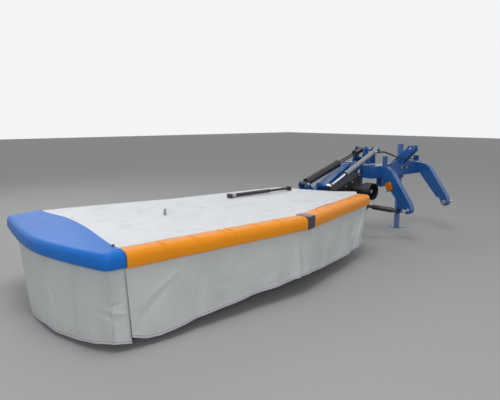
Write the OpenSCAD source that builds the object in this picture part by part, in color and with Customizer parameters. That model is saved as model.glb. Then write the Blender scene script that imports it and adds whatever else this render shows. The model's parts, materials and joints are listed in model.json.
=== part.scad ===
// Side disc mower, parked on its skids and its parking stand.
// Lengths in mm. +X outboard, +Y the way it travels, +Z up, ground at z = 0.
// Positions below count from the inner end of the cover and the front line of the bumper.

/* [Cutterbar] */
// distance between two discs
disc_pitch = 400; // [380:1:420]
// first disc from the inner end of the cover
disc_first = 420; // [400:1:440]
// middle of the bar behind the bumper
bar_back = 750; // [720:1:780]
// depth of the bar
bar_depth = 300; // [260:1:320]
// underside of the bar above the ground
bar_low = 42; // [38:1:50]
// top of the bar above the ground
bar_top = 104; // [98:1:110]
// half length of an oval disc
disc_r = 170; // [160:1:175]
// reach of a knife tip
knife_reach = 248; // [230:1:255]

/* [Cover] */
// inner end of the straight outer bumper
kink_x = 1165; // [1120:1:1200]
// outer end of the orange bumper
bumper_end = 2600; // [2560:1:2640]
// how far the inner bumper end sits behind the front line
inner_back = 340; // [320:1:360]
// depth of the bumper from front to rear
bumper_deep = 125; // [115:1:135]
// top of the bumper above the ground
cover_top = 582; // [570:1:600]
// height of the bumper's front face
bumper_high = 92; // [88:1:100]
// thickness of the tarps and skirts
cloth = 4; // [3:0.5:6]
// hinge line of the front guard behind the front line
guard_back = 560; // [540:1:580]
// lower hem of the front skirt above the ground
hem_low = 55; // [40:1:80]
// widest point of the end cap
cap_x = 2900; // [2880:1:2940]
// rear corner of the end cap
cap_rear = 1552; // [1530:1:1580]

/* [Arm] */
// pivot of the head on the arm, along X
head_x = 80; // [60:1:100]
// pivot of the head above the ground
head_z = 450; // [440:1:470]
// pivot of the arm on the turret, along X
arm_x = -510; // [-530:1:-490]
// pivot of the arm above the ground
arm_z = 754; // [740:1:770]
// middle of the arm behind the front line
arm_back = 1010; // [1000:1:1020]
// width of the arm
arm_wide = 116; // [100:1:120]
// height of the arm
arm_high = 88; // [80:1:90]

/* [Headstock] */
// middle of the headstock, along X
hitch_x = -1080; // [-1100:1:-1060]
// outer faces of the two legs apart, category 2
leg_span = 825; // [820:1:830]
// lower hitch pins above the ground
pin_z = 355; // [340:1:370]
// lower hitch pins behind the front line
pin_back = 330; // [320:1:340]
// radius of a lower hitch pin
pin_r = 14.2; // [14:0.1:14.4]
// free length of a lower hitch pin
pin_free = 95; // [85:1:110]
// top link pin above the lower pins, category 2
mast_high = 610; // [600:1:620]
// radius of the top link pin
top_r = 12.6; // [12.4:0.1:12.8]
// middle of the main beam above the ground
beam_z = 725; // [715:1:735]
// middle of the main beam behind the front line
beam_back = 745; // [740:1:750]
// side of the main beam
beam = 130; // [120:1:132]
// outboard end of the main beam, along X
beam_end = -540; // [-545:1:-538]
// width of a leg
leg_wide = 70; // [60:1:80]

/* [Turret] */
// upright pin of the turret, along X
king_x = -600; // [-610:1:-590]
// upright pin of the turret behind the front line
king_back = 870; // [865:1:875]
// pin of the cylinder and the spring above the ground
apex_z = 945; // [940:1:960]
// the same pin, along X
apex_x = -775; // [-785:1:-765]

/* [Drive] */
// input shaft, along X
shaft_x = -340; // [-350:1:-330]
// input shaft above the ground
shaft_z = 560; // [550:1:570]

/* [Hidden] */

pin_tip = leg_span / 2 + pin_free;
row_min_x = hitch_x - pin_tip;
mid_x = (row_min_x + cap_x) / 2;
cap_front = 6;
mid_y = (cap_front - cap_rear) / 2;
arm_run = arm_x - head_x;
arm_rise = arm_z - head_z;
arm_len = sqrt(arm_run * arm_run + arm_rise * arm_rise);
arm_tilt = atan2(arm_rise, -arm_run);
inner_tilt = atan2(inner_back, kink_x + 30);
arm_front = -arm_back + arm_wide / 2;
arm_rear = -arm_back - arm_wide / 2;
guard_z = cover_top - 6;
bumper_low = cover_top - bumper_high;
cyl_y = -815;
cyl_eye = [-20, 615];
spring_y = -arm_back;
spring_eye = [160, 636];
// faces between the lugs of the headstock and those of the turret
king_low = 566;
king_top = 766;
top_plate = 797;
drop_x = king_x - 260;
stay_front = [hitch_x + leg_span / 2 + 22.5, -425, 338];
stay_rear = [king_x + 110, -king_back + 155, 372];
cup_front = -520;
port_at = 45;
hose_end = [hitch_x - 104, -570, 851];

// every piece is drawn from the cover's corner, then moved over the middle of the base
module seat() {
    translate([-mid_x, -mid_y, 0]) children();
}

// round bar along Y through a point of the X-Z plane
module rod_y(x, z, from, to, r) {
    translate([x, from, z]) rotate([-90, 0, 0]) cylinder(r = r, h = to - from, $fn = 48);
}

// round bar along X
module rod_x(y, z, from, to, r) {
    translate([from, y, z]) rotate([0, 90, 0]) cylinder(r = r, h = to - from, $fn = 48);
}

// plate drawn in the X-Z plane, thick along Y
module plate_y(from, to, points) {
    translate([0, to, 0]) rotate([90, 0, 0]) linear_extrude(to - from) polygon(points);
}

// plate drawn in the Y-Z plane, thick along X
module plate_x(from, to, points) {
    translate([from, 0, 0]) rotate([90, 0, 90]) linear_extrude(to - from) polygon(points);
}

// flat plate drawn in the X-Y plane
module plate_z(from, to, points) {
    translate([0, 0, from]) linear_extrude(to - from) polygon(points);
}

module box(x0, x1, y0, y1, z0, z1) {
    translate([x0, y0, z0]) cube([x1 - x0, y1 - y0, z1 - z0]);
}

// runs along the line from one X-Z point toward another
module toward(a, b, y) {
    translate([a[0], y, a[1]]) rotate([0, -atan2(b[1] - a[1], b[0] - a[0]), 0]) children();
}

module hitch_frame() {
    leg_out = leg_span / 2;
    y0 = -beam_back - beam / 2;
    y1 = -beam_back + beam / 2;
    z0 = beam_z - beam / 2;
    z1 = beam_z + beam / 2;
    leg = [[y0 + 70, z1 - 10], [y0 + 210, z1 - 10], [y0 + 270, z1 - 48], [-pin_back + 12, pin_z + 80],
        [-pin_back + 34, pin_z + 36], [-pin_back + 40, pin_z - 4], [-pin_back + 26, pin_z - 34],
        [-pin_back - 4, pin_z - 42], [-pin_back - 32, pin_z - 26], [-pin_back - 62, pin_z + 42],
        [-pin_back - 101, pin_z + 54], [y0 + 93, z0 + 78]];
    mast = [[y0 + 10, z1 - 4], [y1 + 10, z1 - 4], [-515, pin_z + mast_high - 20], [-520, pin_z + mast_high + 32],
        [-580, pin_z + mast_high + 32], [-600, pin_z + mast_high]];
    ear_x = hitch_x + leg_span / 2 - 4;
    color([0.06, 0.2, 0.62]) seat() difference() {
        union() {
            box(hitch_x - leg_out - 20, beam_end, y0, y1, z0, z1);
            for (side = [-1, 1]) {
                translate([hitch_x + side * (leg_out - leg_wide / 2), 0, 0]) plate_x(-leg_wide / 2, leg_wide / 2, leg);
                translate([hitch_x + side * 38, 0, 0]) plate_x(-8, 8, mast);
            }
            // stiffener along the front of the beam
            plate_y(y1 - 6, y1 + 6, [[hitch_x - leg_out + 60, z1 - 4], [hitch_x + leg_out - 60, z1 - 4],
                [hitch_x + 60, z1 + 46], [hitch_x - 60, z1 + 46]]);
            // two lugs of the upright pin
            for (z = [king_low - 21, king_top]) {
                translate([king_x, -king_back, z]) cylinder(r = 42, h = 20.6, $fn = 64);
                plate_z(z, z + 20.6, z > 700 ? [[king_x - 42, -king_back], [king_x + 42, -king_back],
                    [king_x + 60, y0 + 10], [king_x - 60, y0 + 10]] : [[king_x - 20, -king_back - 38],
                    [king_x + 20, -king_back + 38], [king_x - 160, -765], [drop_x, -745], [drop_x, -808],
                    [king_x - 140, -830]]);
            }
            box(drop_x - 20, drop_x + 60, y0, -745, king_low - 21, z0 + 4);
            // sleeve of the parking stand
            box(hitch_x - 260, hitch_x - 190, y0 - 72, y0, 600, z1);
            // post of the stop pin and holder of the oil coupler
            box(-812, -752, y1 - 28, y1 - 6, z1, z1 + 84);
            box(-800, -764, y1 - 34, y1, z1 + 60, z1 + 96);
            box(hose_end[0] - 12, hose_end[0], hose_end[1] - 30, hose_end[1] + 30, hose_end[2] - 26, hose_end[2] + 34);
            plate_z(hose_end[2] - 30, hose_end[2] - 22, [[hose_end[0] - 12, hose_end[1] + 30], [hose_end[0] - 12, y1 + 20],
                [hitch_x - 42, y1 + 12], [hitch_x - 42, hose_end[1] - 46], [hose_end[0] + 12, hose_end[1] + 30]]);
            // ear and pin of the breakaway stay
            plate_x(ear_x - 16, ear_x, [[stay_front[1] - 30, pin_z + 75], [stay_front[1] + 30, pin_z + 75],
                [stay_front[1] + 32, stay_front[2] + 4], [stay_front[1] + 4, stay_front[2] - 28],
                [stay_front[1] - 26, stay_front[2] - 8]]);
            rod_x(stay_front[1], stay_front[2], ear_x - 10, stay_front[0] - 13.3, 16);
            rod_x(stay_front[1], stay_front[2], ear_x - 10, stay_front[0] + 14, 9);
        }
        box(hitch_x - 250.4, hitch_x - 199.6, y0 - 62.4, y0 - 11.6, 590, z1 + 10);
        translate([king_x, -king_back, 500]) cylinder(r = 17.4, h = 420, $fn = 64);
        rod_x(-550, pin_z + mast_high, hitch_x - 60, hitch_x + 60, top_r + 0.4);
        for (side = [-1, 1]) {
            x = hitch_x + side * (leg_out - leg_wide / 2);
            rod_x(-pin_back, pin_z, x - leg_wide, x + leg_wide, 19.3);
        }
        rod_x(hose_end[1], hose_end[2], hose_end[0] - 20, hose_end[0] + 10, 12.3);
    }
}

module hitch_pins() {
    leg_out = leg_span / 2;
    color([0.7, 0.7, 0.68]) seat() for (side = [-1, 1]) translate([hitch_x, 0, 0]) mirror([side < 0 ? 1 : 0, 0, 0]) {
        rod_x(-pin_back, pin_z, leg_out - 2, pin_tip, pin_r);
        rod_x(-pin_back, pin_z, leg_out - leg_wide, leg_out, 19);
        rod_x(-pin_back, pin_z, leg_out - leg_wide - 20, leg_out - leg_wide, 27);
    }
}

module top_link_pin() {
    color([0.7, 0.7, 0.68]) seat() {
        rod_x(-550, pin_z + mast_high, hitch_x - 58, hitch_x + 60, top_r);
        rod_x(-550, pin_z + mast_high, hitch_x - 58, hitch_x - 46, 20);
    }
}

module stand_leg() {
    y = -beam_back - beam / 2 - 37;
    color([0.06, 0.2, 0.62]) seat() {
        box(hitch_x - 250, hitch_x - 200, y - 25, y + 25, 8, 1000);
        box(hitch_x - 290, hitch_x - 160, y - 60, y + 60, 0, 8);
    }
}

module turret() {
    rear = arm_rear - 31;
    front = arm_front + 32;
    wall = arm_x - 55;
    lug = [[king_x - 42, -king_back], [king_x, -king_back + 42], [king_x + 42, -king_back], [wall, front - 38],
        [wall, front - 80], [wall - 38, front - 80], [wall - 44, front - 38]];
    tip = [stay_rear[0], stay_rear[1]];
    color([0.06, 0.2, 0.62]) seat() {
        // upright pin and the two lugs on it
        translate([king_x, -king_back, stay_rear[2] - 35]) cylinder(r = 17, h = 465, $fn = 64);
        for (z = [king_low, king_top - 25.6]) {
            translate([king_x, -king_back, z]) cylinder(r = 42, h = 25.2, $fn = 64);
            plate_z(z, z + 25.2, lug);
        }
        // wall behind the arm and the two ears of the arm
        box(wall - 38, wall, rear, front - 38, king_low, arm_z + 46);
        box(wall - 38, wall, rear, front, arm_z - 64, arm_z + 46);
        for (y = [[rear, rear + 18], [front - 18, front]]) {
            plate_y(y[0], y[1], [[wall - 30, arm_z + 46], [arm_x - 20, arm_z + 46], [arm_x + 26, arm_z + 38],
                [arm_x + 46, arm_z + 8], [arm_x + 40, arm_z - 28], [arm_x, arm_z - 50], [wall - 30, arm_z - 64]]);
        }
        rod_y(arm_x, arm_z, rear - 13, front + 12, 20);
        // top plate that carries the apex
        plate_z(top_plate, top_plate + 15, [[wall - 1, rear], [wall - 1, front], [king_x - 20, front + 6],
            [king_x - 90, front + 74], [apex_x - 42, front + 74], [apex_x - 42, rear + 20], [apex_x - 10, rear]]);
        box(wall - 38, wall, rear, front, arm_z + 40, top_plate + 4);
        // lever of the breakaway stay, under the rod's eye
        translate([king_x, -king_back, stay_rear[2] - 35.5]) cylinder(r = 34, h = 15, $fn = 48);
        plate_z(stay_rear[2] - 35.5, stay_rear[2] - 20.5, [[king_x - 26, -king_back + 22], [king_x + 26, -king_back - 20],
            [tip[0] + 24, tip[1] - 20], [tip[0] + 26, tip[1] + 12], [tip[0] + 8, tip[1] + 26], [tip[0] - 20, tip[1] + 18]]);
        translate([tip[0], tip[1], stay_rear[2] - 46]) cylinder(r = 16, h = 20, $fn = 32);
    }
}

module apex_bracket() {
    color([0.06, 0.2, 0.62]) seat() {
        for (y = [spring_y - 68, spring_y + 56, cyl_y - 43]) {
            plate_y(y, y + 12, [[apex_x - 40, top_plate + 15], [apex_x + 75, top_plate + 15], [apex_x + 38, apex_z + 16],
                [apex_x + 18, apex_z + 34], [apex_x - 12, apex_z + 34], [apex_x - 34, apex_z + 12]]);
        }
        rod_y(apex_x, apex_z, spring_y - 78, cyl_y + 40, 14);
        rod_y(apex_x, apex_z, cyl_y + 29.6, cyl_y + 36, 22);
        box(apex_x - 38, apex_x - 26, spring_y - 68, cyl_y - 31, top_plate + 15, top_plate + 60);
    }
}

// frame of the breakaway stay: X runs from its front pin to its rear pin
module on_stay() {
    run = stay_rear - stay_front;
    translate(stay_front) rotate([0, 0, atan2(run[1], run[0])]) rotate([0, -asin(run[2] / norm(run)), 0]) children();
}

module stay_tube() {
    color([0.08, 0.08, 0.09]) seat() {
        on_stay() difference() {
            union() {
                translate([16, 0, 0]) rotate([0, 90, 0]) cylinder(r = 15, h = 40, $fn = 48);
                translate([40, 0, 0]) rotate([0, 90, 0]) cylinder(r = 26, h = 222, $fn = 64);
            }
            translate([80, 0, 0]) rotate([0, 90, 0]) cylinder(r = 16.5, h = 200, $fn = 48);
        }
        difference() {
            rod_x(stay_front[1], stay_front[2], stay_front[0] - 13, stay_front[0] + 13, 25);
            rod_x(stay_front[1], stay_front[2], stay_front[0] - 30, stay_front[0] + 30, 9.3);
        }
    }
}

module stay_rod() {
    far = norm(stay_rear - stay_front);
    color([0.1, 0.1, 0.11]) seat() {
        on_stay() translate([160, 0, 0]) rotate([0, 90, 0]) cylinder(r = 16, h = far - 175, $fn = 48);
        translate([stay_rear[0], stay_rear[1], stay_rear[2] - 20.2]) cylinder(r = 27, h = 31.2, $fn = 48);
        translate([stay_rear[0], stay_rear[1], stay_rear[2] + 10]) cylinder(r = 15, h = 12, $fn = 6);
    }
}

module swing_arm() {
    color([0.06, 0.2, 0.62]) seat() difference() {
        union() {
            toward([arm_x, arm_z], [head_x, head_z], arm_rear) {
                translate([0, 0.5, -arm_high / 2]) cube([arm_len, arm_wide - 1, arm_high]);
                translate([70, -6, arm_high / 2 - 4]) cube([arm_len - 136, arm_wide + 12, 8]);
            }
            rod_y(arm_x, arm_z, arm_rear, arm_front, 50);
            rod_y(head_x, head_z, arm_rear, arm_front, 56);
            // boss that faces the eye of the cylinder's rod
            rod_y(cyl_eye[0], cyl_eye[1] - 6, arm_front - 30, cyl_y - 30, 26);
            plate_y(arm_front - 12, arm_front, [[cyl_eye[0] - 46, cyl_eye[1] - 8], [cyl_eye[0] + 34, cyl_eye[1] - 2],
                [cyl_eye[0] + 60, cyl_eye[1] - 90], [cyl_eye[0] - 60, cyl_eye[1] - 90]]);
            // ears beside the eye of the spring
            for (y = [[spring_y - 56, spring_y - 45], [spring_y + 45, spring_y + 56]])
                plate_y(y[0], y[1], [[head_x - 50, head_z + 40], [head_x + 20, head_z + 20], [head_x + 56, head_z + 50],
                    [spring_eye[0] + 24, spring_eye[1] - 10], [spring_eye[0] + 14, spring_eye[1] + 20],
                    [spring_eye[0] - 14, spring_eye[1] + 20], [head_x - 20, head_z + 112]]);
            for (y = [[spring_y - 62, spring_y - 56], [spring_y + 56, spring_y + 62]])
                rod_y(spring_eye[0], spring_eye[1], y[0], y[1], 15);
            // stalk of the belt guard
            box(-330, -210, arm_front - 10, -860, 565, 632);
        }
        rod_y(arm_x, arm_z, arm_rear - 30, arm_front + 30, 21);
        rod_y(head_x, head_z, arm_rear - 30, arm_front + 30, 21);
    }
}

// belt drive cover between the input pulley and the head pivot
module belt_guard() {
    a = [shaft_x, shaft_z, 118];
    b = [head_x, head_z, 92];
    run = sqrt(pow(b[0] - a[0], 2) + pow(b[1] - a[1], 2));
    dir = atan2(b[1] - a[1], b[0] - a[0]);
    lean = acos((a[2] - b[2]) / run);
    side = [for (s = [1, -1]) [cos(dir + s * lean), sin(dir + s * lean)]];
    color([0.07, 0.07, 0.08]) seat() difference() {
        union() {
            for (c = [a, b]) rod_y(c[0], c[1], -860, -760, c[2]);
            plate_y(-860, -760, [[a[0] + a[2] * side[0][0], a[1] + a[2] * side[0][1]],
                [b[0] + b[2] * side[0][0], b[1] + b[2] * side[0][1]],
                [b[0] + b[2] * side[1][0], b[1] + b[2] * side[1][1]],
                [a[0] + a[2] * side[1][0], a[1] + a[2] * side[1][1]]]);
            // raised corner over the idler pulley
            plate_y(-860, -760, [[a[0] - a[2], a[1]], [a[0] - a[2] + 4, a[1] + 148], [a[0] - a[2] + 14, a[1] + 162],
                [a[0] - a[2] + 34, a[1] + 166], [a[0] + 60, a[1] + 100]]);
        }
        rod_y(a[0], a[1], -790, -750, 20.3);
        rod_y(b[0], b[1], -790, -750, 30);
    }
}

module input_guard() {
    color([0.06, 0.06, 0.07]) seat() difference() {
        union() {
            rod_y(shaft_x, shaft_z, -760, -608, 52);
            rod_y(shaft_x, shaft_z, -612, cup_front, 86);
        }
        rod_y(shaft_x, shaft_z, -770, -560, 22);
        rod_y(shaft_x, shaft_z, -602, cup_front + 20, 79);
    }
}

module pto_stub() {
    color([0.62, 0.62, 0.6]) seat() {
        rod_y(shaft_x, shaft_z, -785, cup_front - 22, 15.5);
        rod_y(shaft_x, shaft_z, -785, -612, 20);
        for (i = [0 : 5]) translate([shaft_x, 0, shaft_z]) rotate([0, 60 * i, 0])
            box(-3.9, 3.9, -600, cup_front - 24, 0, 17.2);
    }
}

module cylinder_barrel() {
    color([0.45, 0.46, 0.48]) seat() toward([apex_x, apex_z], cyl_eye, cyl_y) difference() {
        union() {
            rotate([-90, 0, 0]) translate([0, 0, -29]) cylinder(r = 26, h = 58, $fn = 48);
            translate([16, 0, 0]) rotate([0, 90, 0]) cylinder(r = 25, h = 524, $fn = 64);
            translate([528, 0, 0]) rotate([0, 90, 0]) cylinder(r = 28, h = 32, $fn = 64);
            translate([port_at, 20, 0]) rotate([-90, 0, 0]) cylinder(r = 12, h = 31, $fn = 32);
        }
        rotate([-90, 0, 0]) translate([0, 0, -40]) cylinder(r = 14.4, h = 80, $fn = 48);
        translate([130, 0, 0]) rotate([0, 90, 0]) cylinder(r = 15.5, h = 450, $fn = 48);
    }
}

module cylinder_rod() {
    far = sqrt(pow(cyl_eye[0] - apex_x, 2) + pow(cyl_eye[1] - apex_z, 2));
    color([0.82, 0.83, 0.85]) seat() toward([apex_x, apex_z], cyl_eye, cyl_y) {
        translate([500, 0, 0]) rotate([0, 90, 0]) cylinder(r = 14, h = far - 515, $fn = 48);
        translate([far, -29.6, 0]) rotate([-90, 0, 0]) cylinder(r = 24, h = 46, $fn = 48);
        translate([far, 14, 0]) rotate([-90, 0, 0]) cylinder(r = 12, h = 12, $fn = 32);
    }
}

module spring_tube() {
    far = sqrt(pow(spring_eye[0] - apex_x, 2) + pow(spring_eye[1] - apex_z, 2));
    color([0.08, 0.08, 0.09]) seat() toward([apex_x, apex_z], spring_eye, spring_y) difference() {
        union() {
            translate([far - 548, 0, 0]) rotate([0, 90, 0]) cylinder(r = 40, h = 512, $fn = 64);
            translate([far - 556, 0, 0]) rotate([0, 90, 0]) cylinder(r = 42, h = 26, $fn = 64);
            translate([far - 62, 0, 0]) rotate([0, 90, 0]) cylinder(r = 42, h = 26, $fn = 64);
            translate([far - 50, -30, -14]) cube([50, 60, 28]);
            translate([far, -43, 0]) rotate([-90, 0, 0]) cylinder(r = 19, h = 86, $fn = 48);
        }
        for (s = [-1, 1]) translate([far - 570, s * 22, 0]) rotate([0, 90, 0]) cylinder(r = 9.5, h = 450, $fn = 32);
    }
}

module spring_rods() {
    far = sqrt(pow(spring_eye[0] - apex_x, 2) + pow(spring_eye[1] - apex_z, 2));
    color([0.2, 0.2, 0.21]) seat() toward([apex_x, apex_z], spring_eye, spring_y) difference() {
        union() {
            translate([0, -52, 0]) rotate([-90, 0, 0]) cylinder(r = 23, h = 104, $fn = 48);
            translate([10, -32, -17]) cube([110, 64, 34]);
            translate([116, 0, 0]) rotate([0, 90, 0]) cylinder(r = 36, h = 14, $fn = 48);
            for (s = [-1, 1]) translate([10, s * 22, 0]) rotate([0, 90, 0]) cylinder(r = 8, h = far - 500, $fn = 32);
        }
        translate([0, -60, 0]) rotate([-90, 0, 0]) cylinder(r = 14.4, h = 120, $fn = 48);
    }
}

module head_bracket() {
    ear = [[head_x - 20, head_z - 52], [head_x + 10, head_z + 55], [250, 528], [330, 528], [330, 430], [235, 300],
        [235, bar_top + 10], [175, bar_top + 10], [170, 300]];
    rear = arm_rear - 5;
    front = arm_front + 5;
    color([0.06, 0.2, 0.62]) seat() {
        for (y = [[rear - 16, rear], [front, front + 16]]) {
            plate_y(y[0], y[1], ear);
            rod_y(head_x, head_z, y[0], y[1], 55);
        }
        rod_y(head_x, head_z, rear - 28, front + 28, 20);
        // cross plate and foot on the bar
        box(236, 250, rear - 16, front + 16, 360, 528);
        box(175, 235, rear - 16, front + 16, bar_top, bar_top + 12);
        box(175, 470, front, -860, bar_top, bar_top + 12);
        plate_x(178, 190, [[front + 10, bar_top + 8], [-905, bar_top + 8], [front + 10, 300]]);
    }
}

module carrier_beam() {
    color([0.06, 0.2, 0.62]) seat() {
        box(250, 2500, -1052, -968, 440, 524);
        box(2500, 2508, -1060, -960, 432, 532);
    }
}

module gearbox() {
    color([0.3, 0.31, 0.33]) seat() {
        rod_y(head_x, head_z, -750, -625, 76);
        rod_y(head_x, head_z, -785, -745, 22);
        plate_y(-745, -635, [[head_x - 60, head_z - 46], [head_x + 60, head_z + 46], [160, 330], [160, bar_top + 8],
            [90, bar_top + 8], [70, 300]]);
        box(90, 352, -835, -665, bar_top, bar_top + 12);
        rod_y(head_x, head_z, -625, -612, 48);
    }
}

module cutterbar() {
    r = -bar_back - bar_depth / 2;
    f = -bar_back + bar_depth / 2;
    color([0.05, 0.18, 0.5]) seat() {
        plate_x(90, 2640, [[r + 18, bar_low], [f - 46, bar_low], [f - 6, bar_low + 20], [f, bar_low + 34],
            [f - 6, bar_low + 44], [f - 40, bar_top], [r + 12, bar_top], [r, bar_top - 14], [r, bar_low + 16]]);
        for (i = [0 : 5]) translate([disc_first + i * disc_pitch, -bar_back, bar_top - 2])
            cylinder(r = 62, h = 20, $fn = 48);
    }
}

module skid_shoes() {
    f = -bar_back + bar_depth / 2;
    color([0.12, 0.12, 0.13]) seat() for (i = [0 : 5])
        plate_x(disc_first + i * disc_pitch - 95, disc_first + i * disc_pitch + 95, [[-905, 0], [-680, 0],
            [-630, 10], [-598, 30], [f + 24, 60], [f + 20, 66], [f + 2, 54], [f - 30, 34], [-640, 24], [-690, 8],
            [-860, 8], [-878, bar_low], [-889, bar_low], [-915, 8]]);
}

module disc(i) {
    knife = [[-20, 118], [20, 118], [24, 150], [24, knife_reach - 14], [10, knife_reach], [-24, knife_reach - 6], [-24, 150]];
    color([0.16, 0.17, 0.18]) seat() translate([disc_first + (i - 1) * disc_pitch, -bar_back, 0])
        rotate([0, 0, 90 * (i - 1)]) {
        intersection() {
            translate([0, 0, 132]) cylinder(r = disc_r, h = 7, $fn = 96);
            for (s = [-1, 1]) translate([0, 0, 0]) intersection() {
                translate([-190, 0, 130]) cylinder(r = 300, h = 12, $fn = 128);
                translate([190, 0, 130]) cylinder(r = 300, h = 12, $fn = 128);
            }
        }
        translate([0, 0, 127]) cylinder(r = 40, h = 6, $fn = 48);
        translate([0, 0, 139]) cylinder(r1 = 96, r2 = 62, h = 16, $fn = 64);
        translate([0, 0, 155]) cylinder(r1 = 62, r2 = 48, h = 8, $fn = 64);
        for (s = [0, 180]) rotate([0, 0, s]) {
            plate_z(124, 128, knife);
            translate([0, 140, 122]) cylinder(r = 13, h = 22, $fn = 32);
        }
    }
}

rear_line = [[2490, -1552], [2270, -1520], [1950, -1460], [1500, -1370], [980, -1340], [620, -1320], [330, -1270]];
notch_line = [[240, -1090], [170, -850], [-110, -568]];
cap_outer = [[2606, 4], [2650, cap_front], [2690, cap_front], [2716, -2], [2733, -20], [2746, -50], [2760, -92],
    [2790, -180], [2835, -330], [2866, -460], [2890, -590], [cap_x, -700], [cap_x - 2, -830], [2884, -960],
    [2868, -1060], [2846, -1180], [2818, -1340], [2796, -1428], [2762, -1480], [2706, -1520], [2600, -cap_rear]];
cap_inner = [[2576, -1500], [2572, -1390], [2530, -1100], [2540, -735], [2585, -370], [2606, -200]];
cap_wall = [[2622, -200], [2603, -368], [2558, -735], [2548, -1100], [2590, -1388], [2594, -1490]];

function unit(v) = v / norm(v);
// inward offset of one corner of a line, per millimetre
function corner(line, i) = let (
    a = unit(line[max(i, 1)] - line[max(i, 1) - 1]),
    b = unit(line[min(i, len(line) - 2) + 1] - line[min(i, len(line) - 2)]),
    n = [a[1] + b[1], -a[0] - b[0]]) n / (1 + a[0] * b[0] + a[1] * b[1]);
function moved(line, d) = [for (i = [0 : len(line) - 1]) line[i] + d * corner(line, i)];
// upright section at every corner of a line; each section point is [offset inward, height]
function rings(line, sections) = [for (i = [0 : len(line) - 1]) [for (s = sections[i])
    [line[i][0] + s[0] * corner(line, i)[0], line[i][1] + s[0] * corner(line, i)[1], s[1]]]];

module skin(rings) {
    n = len(rings);
    m = len(rings[0]);
    half = [for (i = [0 : n - 2]) for (k = [0 : m - 1]) [i * m + (k + 1) % m, i * m + k, (i + 1) * m + k]];
    rest = [for (i = [0 : n - 2]) for (k = [0 : m - 1])
        [i * m + (k + 1) % m, (i + 1) * m + k, (i + 1) * m + (k + 1) % m]];
    polyhedron([for (r = rings) each r], concat([[for (k = [0 : m - 1]) k]], half, rest,
        [[for (k = [m - 1 : -1 : 0]) (n - 1) * m + k]]));
}

// hanging sheet under a line of corners, with its own hem height at each
module curtain(line, hems, top) {
    skin(rings(line, [for (h = hems) [[0, h], [0, top], [cloth, top], [cloth, h]]]));
}

module cover_frame() {
    color([0.1, 0.22, 0.55]) seat() {
        for (x = [270, 1000, 1740, 2440]) {
            box(x, x + 40, x > 2000 ? -1500 : x > 900 ? -1290 : -1140, -guard_back - 12, 548, cover_top - 10);
            box(x + 4, x + 36, -1050, -970, 524, 548);
        }
        box(270, 2530, -guard_back - 52, -guard_back - 12, 548, cover_top - 10);
        box(560, 2440, -1290, -1250, 548, cover_top - 10);
        box(2480, 2530, -1100, -1050, 548, cover_top - 10);
        // knuckles of the guard's hinge
        for (x = [300, 1500, 2450]) {
            rod_x(-guard_back, guard_z, x, x + 50, 6);
            rod_x(-guard_back, guard_z, x > 2400 ? x - 56 : x, x > 2400 ? x : x + 104, 3);
        }
        for (x = [300, 1500, 2450]) box(x, x + 50, -guard_back - 14, -guard_back - 2, guard_z - 16, cover_top - 10);
    }
}

module top_tarp() {
    color([0.86, 0.86, 0.84]) seat()
        plate_z(cover_top - 10, cover_top - 10 + cloth, concat([[2560, -568], [2540, -735], [2530, -1100], [2572, -1390],
            [2576, -1500]], rear_line, notch_line));
}

module rear_skirt() {
    low = 330;
    color([0.72, 0.72, 0.7]) seat() for (i = [0 : 5]) let (a = rear_line[i], b = rear_line[i + 1])
        plate_z(low, cover_top - 10, [a, b, b + [2, cloth], a + [2, cloth]]);
}

module end_cap() {
    low = bumper_low + 4;
    top = cover_top + 8;
    rim = [[0, low + 16], [0, top - 30], [3, top - 18], [10, top - 8], [20, top - 2], [30, top], [38, top], [38, low],
        [12, low], [3, low + 6]];
    color([0.03, 0.16, 0.5]) seat() {
        skin(rings(cap_outer, [for (p = cap_outer) rim]));
        plate_z(cover_top - 2, top, concat(moved(cap_outer, 30), cap_inner));
        plate_z(cover_top - 34, top, concat(cap_inner, [[2606, -60], [2624, -60]], cap_wall));
    }
}

module end_skirt() {
    line = concat([[2608, 4]], [for (i = [1 : 16]) cap_outer[i]]);
    hem = [-22, -20, -18, -16, -14, -12, -8, -4, -7, 2, 4, -20, -34, -28, -16, -8, 0];
    color([0.72, 0.72, 0.7]) seat() curtain(moved(line, 38.3), [for (h = hem) hem_low + h], cover_top - 2);
}

module tie_bar() {
    color([0.05, 0.05, 0.06]) seat() {
        rod_x(-1000, 612, 395, 1110, 12);
        rod_x(-1000, 612, 640, 1080, 17);
    }
}

module tie_brackets() {
    color([0.12, 0.12, 0.13]) seat() {
        for (x = [1110, 371]) {
            box(x, x + 24, -1026, -974, cover_top - 6, 630);
            box(x - 12, x + 36, -1040, -960, cover_top - 6, cover_top - 1);
        }
    }
}

module tarp_hook() {
    color([0.5, 0.55, 0.6]) seat() {
        box(1905, 1955, -765, -715, cover_top - 6, cover_top - 2);
        plate_y(-744, -736, [[1915, cover_top - 2], [1945, cover_top - 2], [1940, 622], [1930, 634], [1918, 628],
            [1926, 614]]);
    }
}

// straight rule for the inner bumper: x along the slant, y back from its face
function inner(d, back) = [kink_x - d * cos(inner_tilt) + back * sin(inner_tilt),
    -d * sin(inner_tilt) - back * cos(inner_tilt)];
inner_long = (kink_x + 30) / cos(inner_tilt);

module guard_frame() {
    color([0.1, 0.22, 0.55]) seat() {
        for (x = [352, 1552, 2400]) {
            difference() {
                union() {
                    rod_x(-guard_back, guard_z, x, x + 48, 6);
                    box(x, x + 48, -guard_back, -guard_back + 8, 560, cover_top - 10);
                }
                rod_x(-guard_back, guard_z, x - 10, x + 60, 3.3);
            }
            box(x + 4, x + 44, -guard_back + 6, x < 400 ? -380 : -140, 556, cover_top - 10);
        }
        box(kink_x + 20, 2560, -160, -bumper_deep, 556, cover_top - 10);
        plate_z(556, cover_top - 10, [inner(20, bumper_deep + 0.5), inner(inner_long - 60, bumper_deep),
            inner(inner_long - 60, bumper_deep + 40), inner(-30, bumper_deep + 40)]);
    }
}

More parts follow.
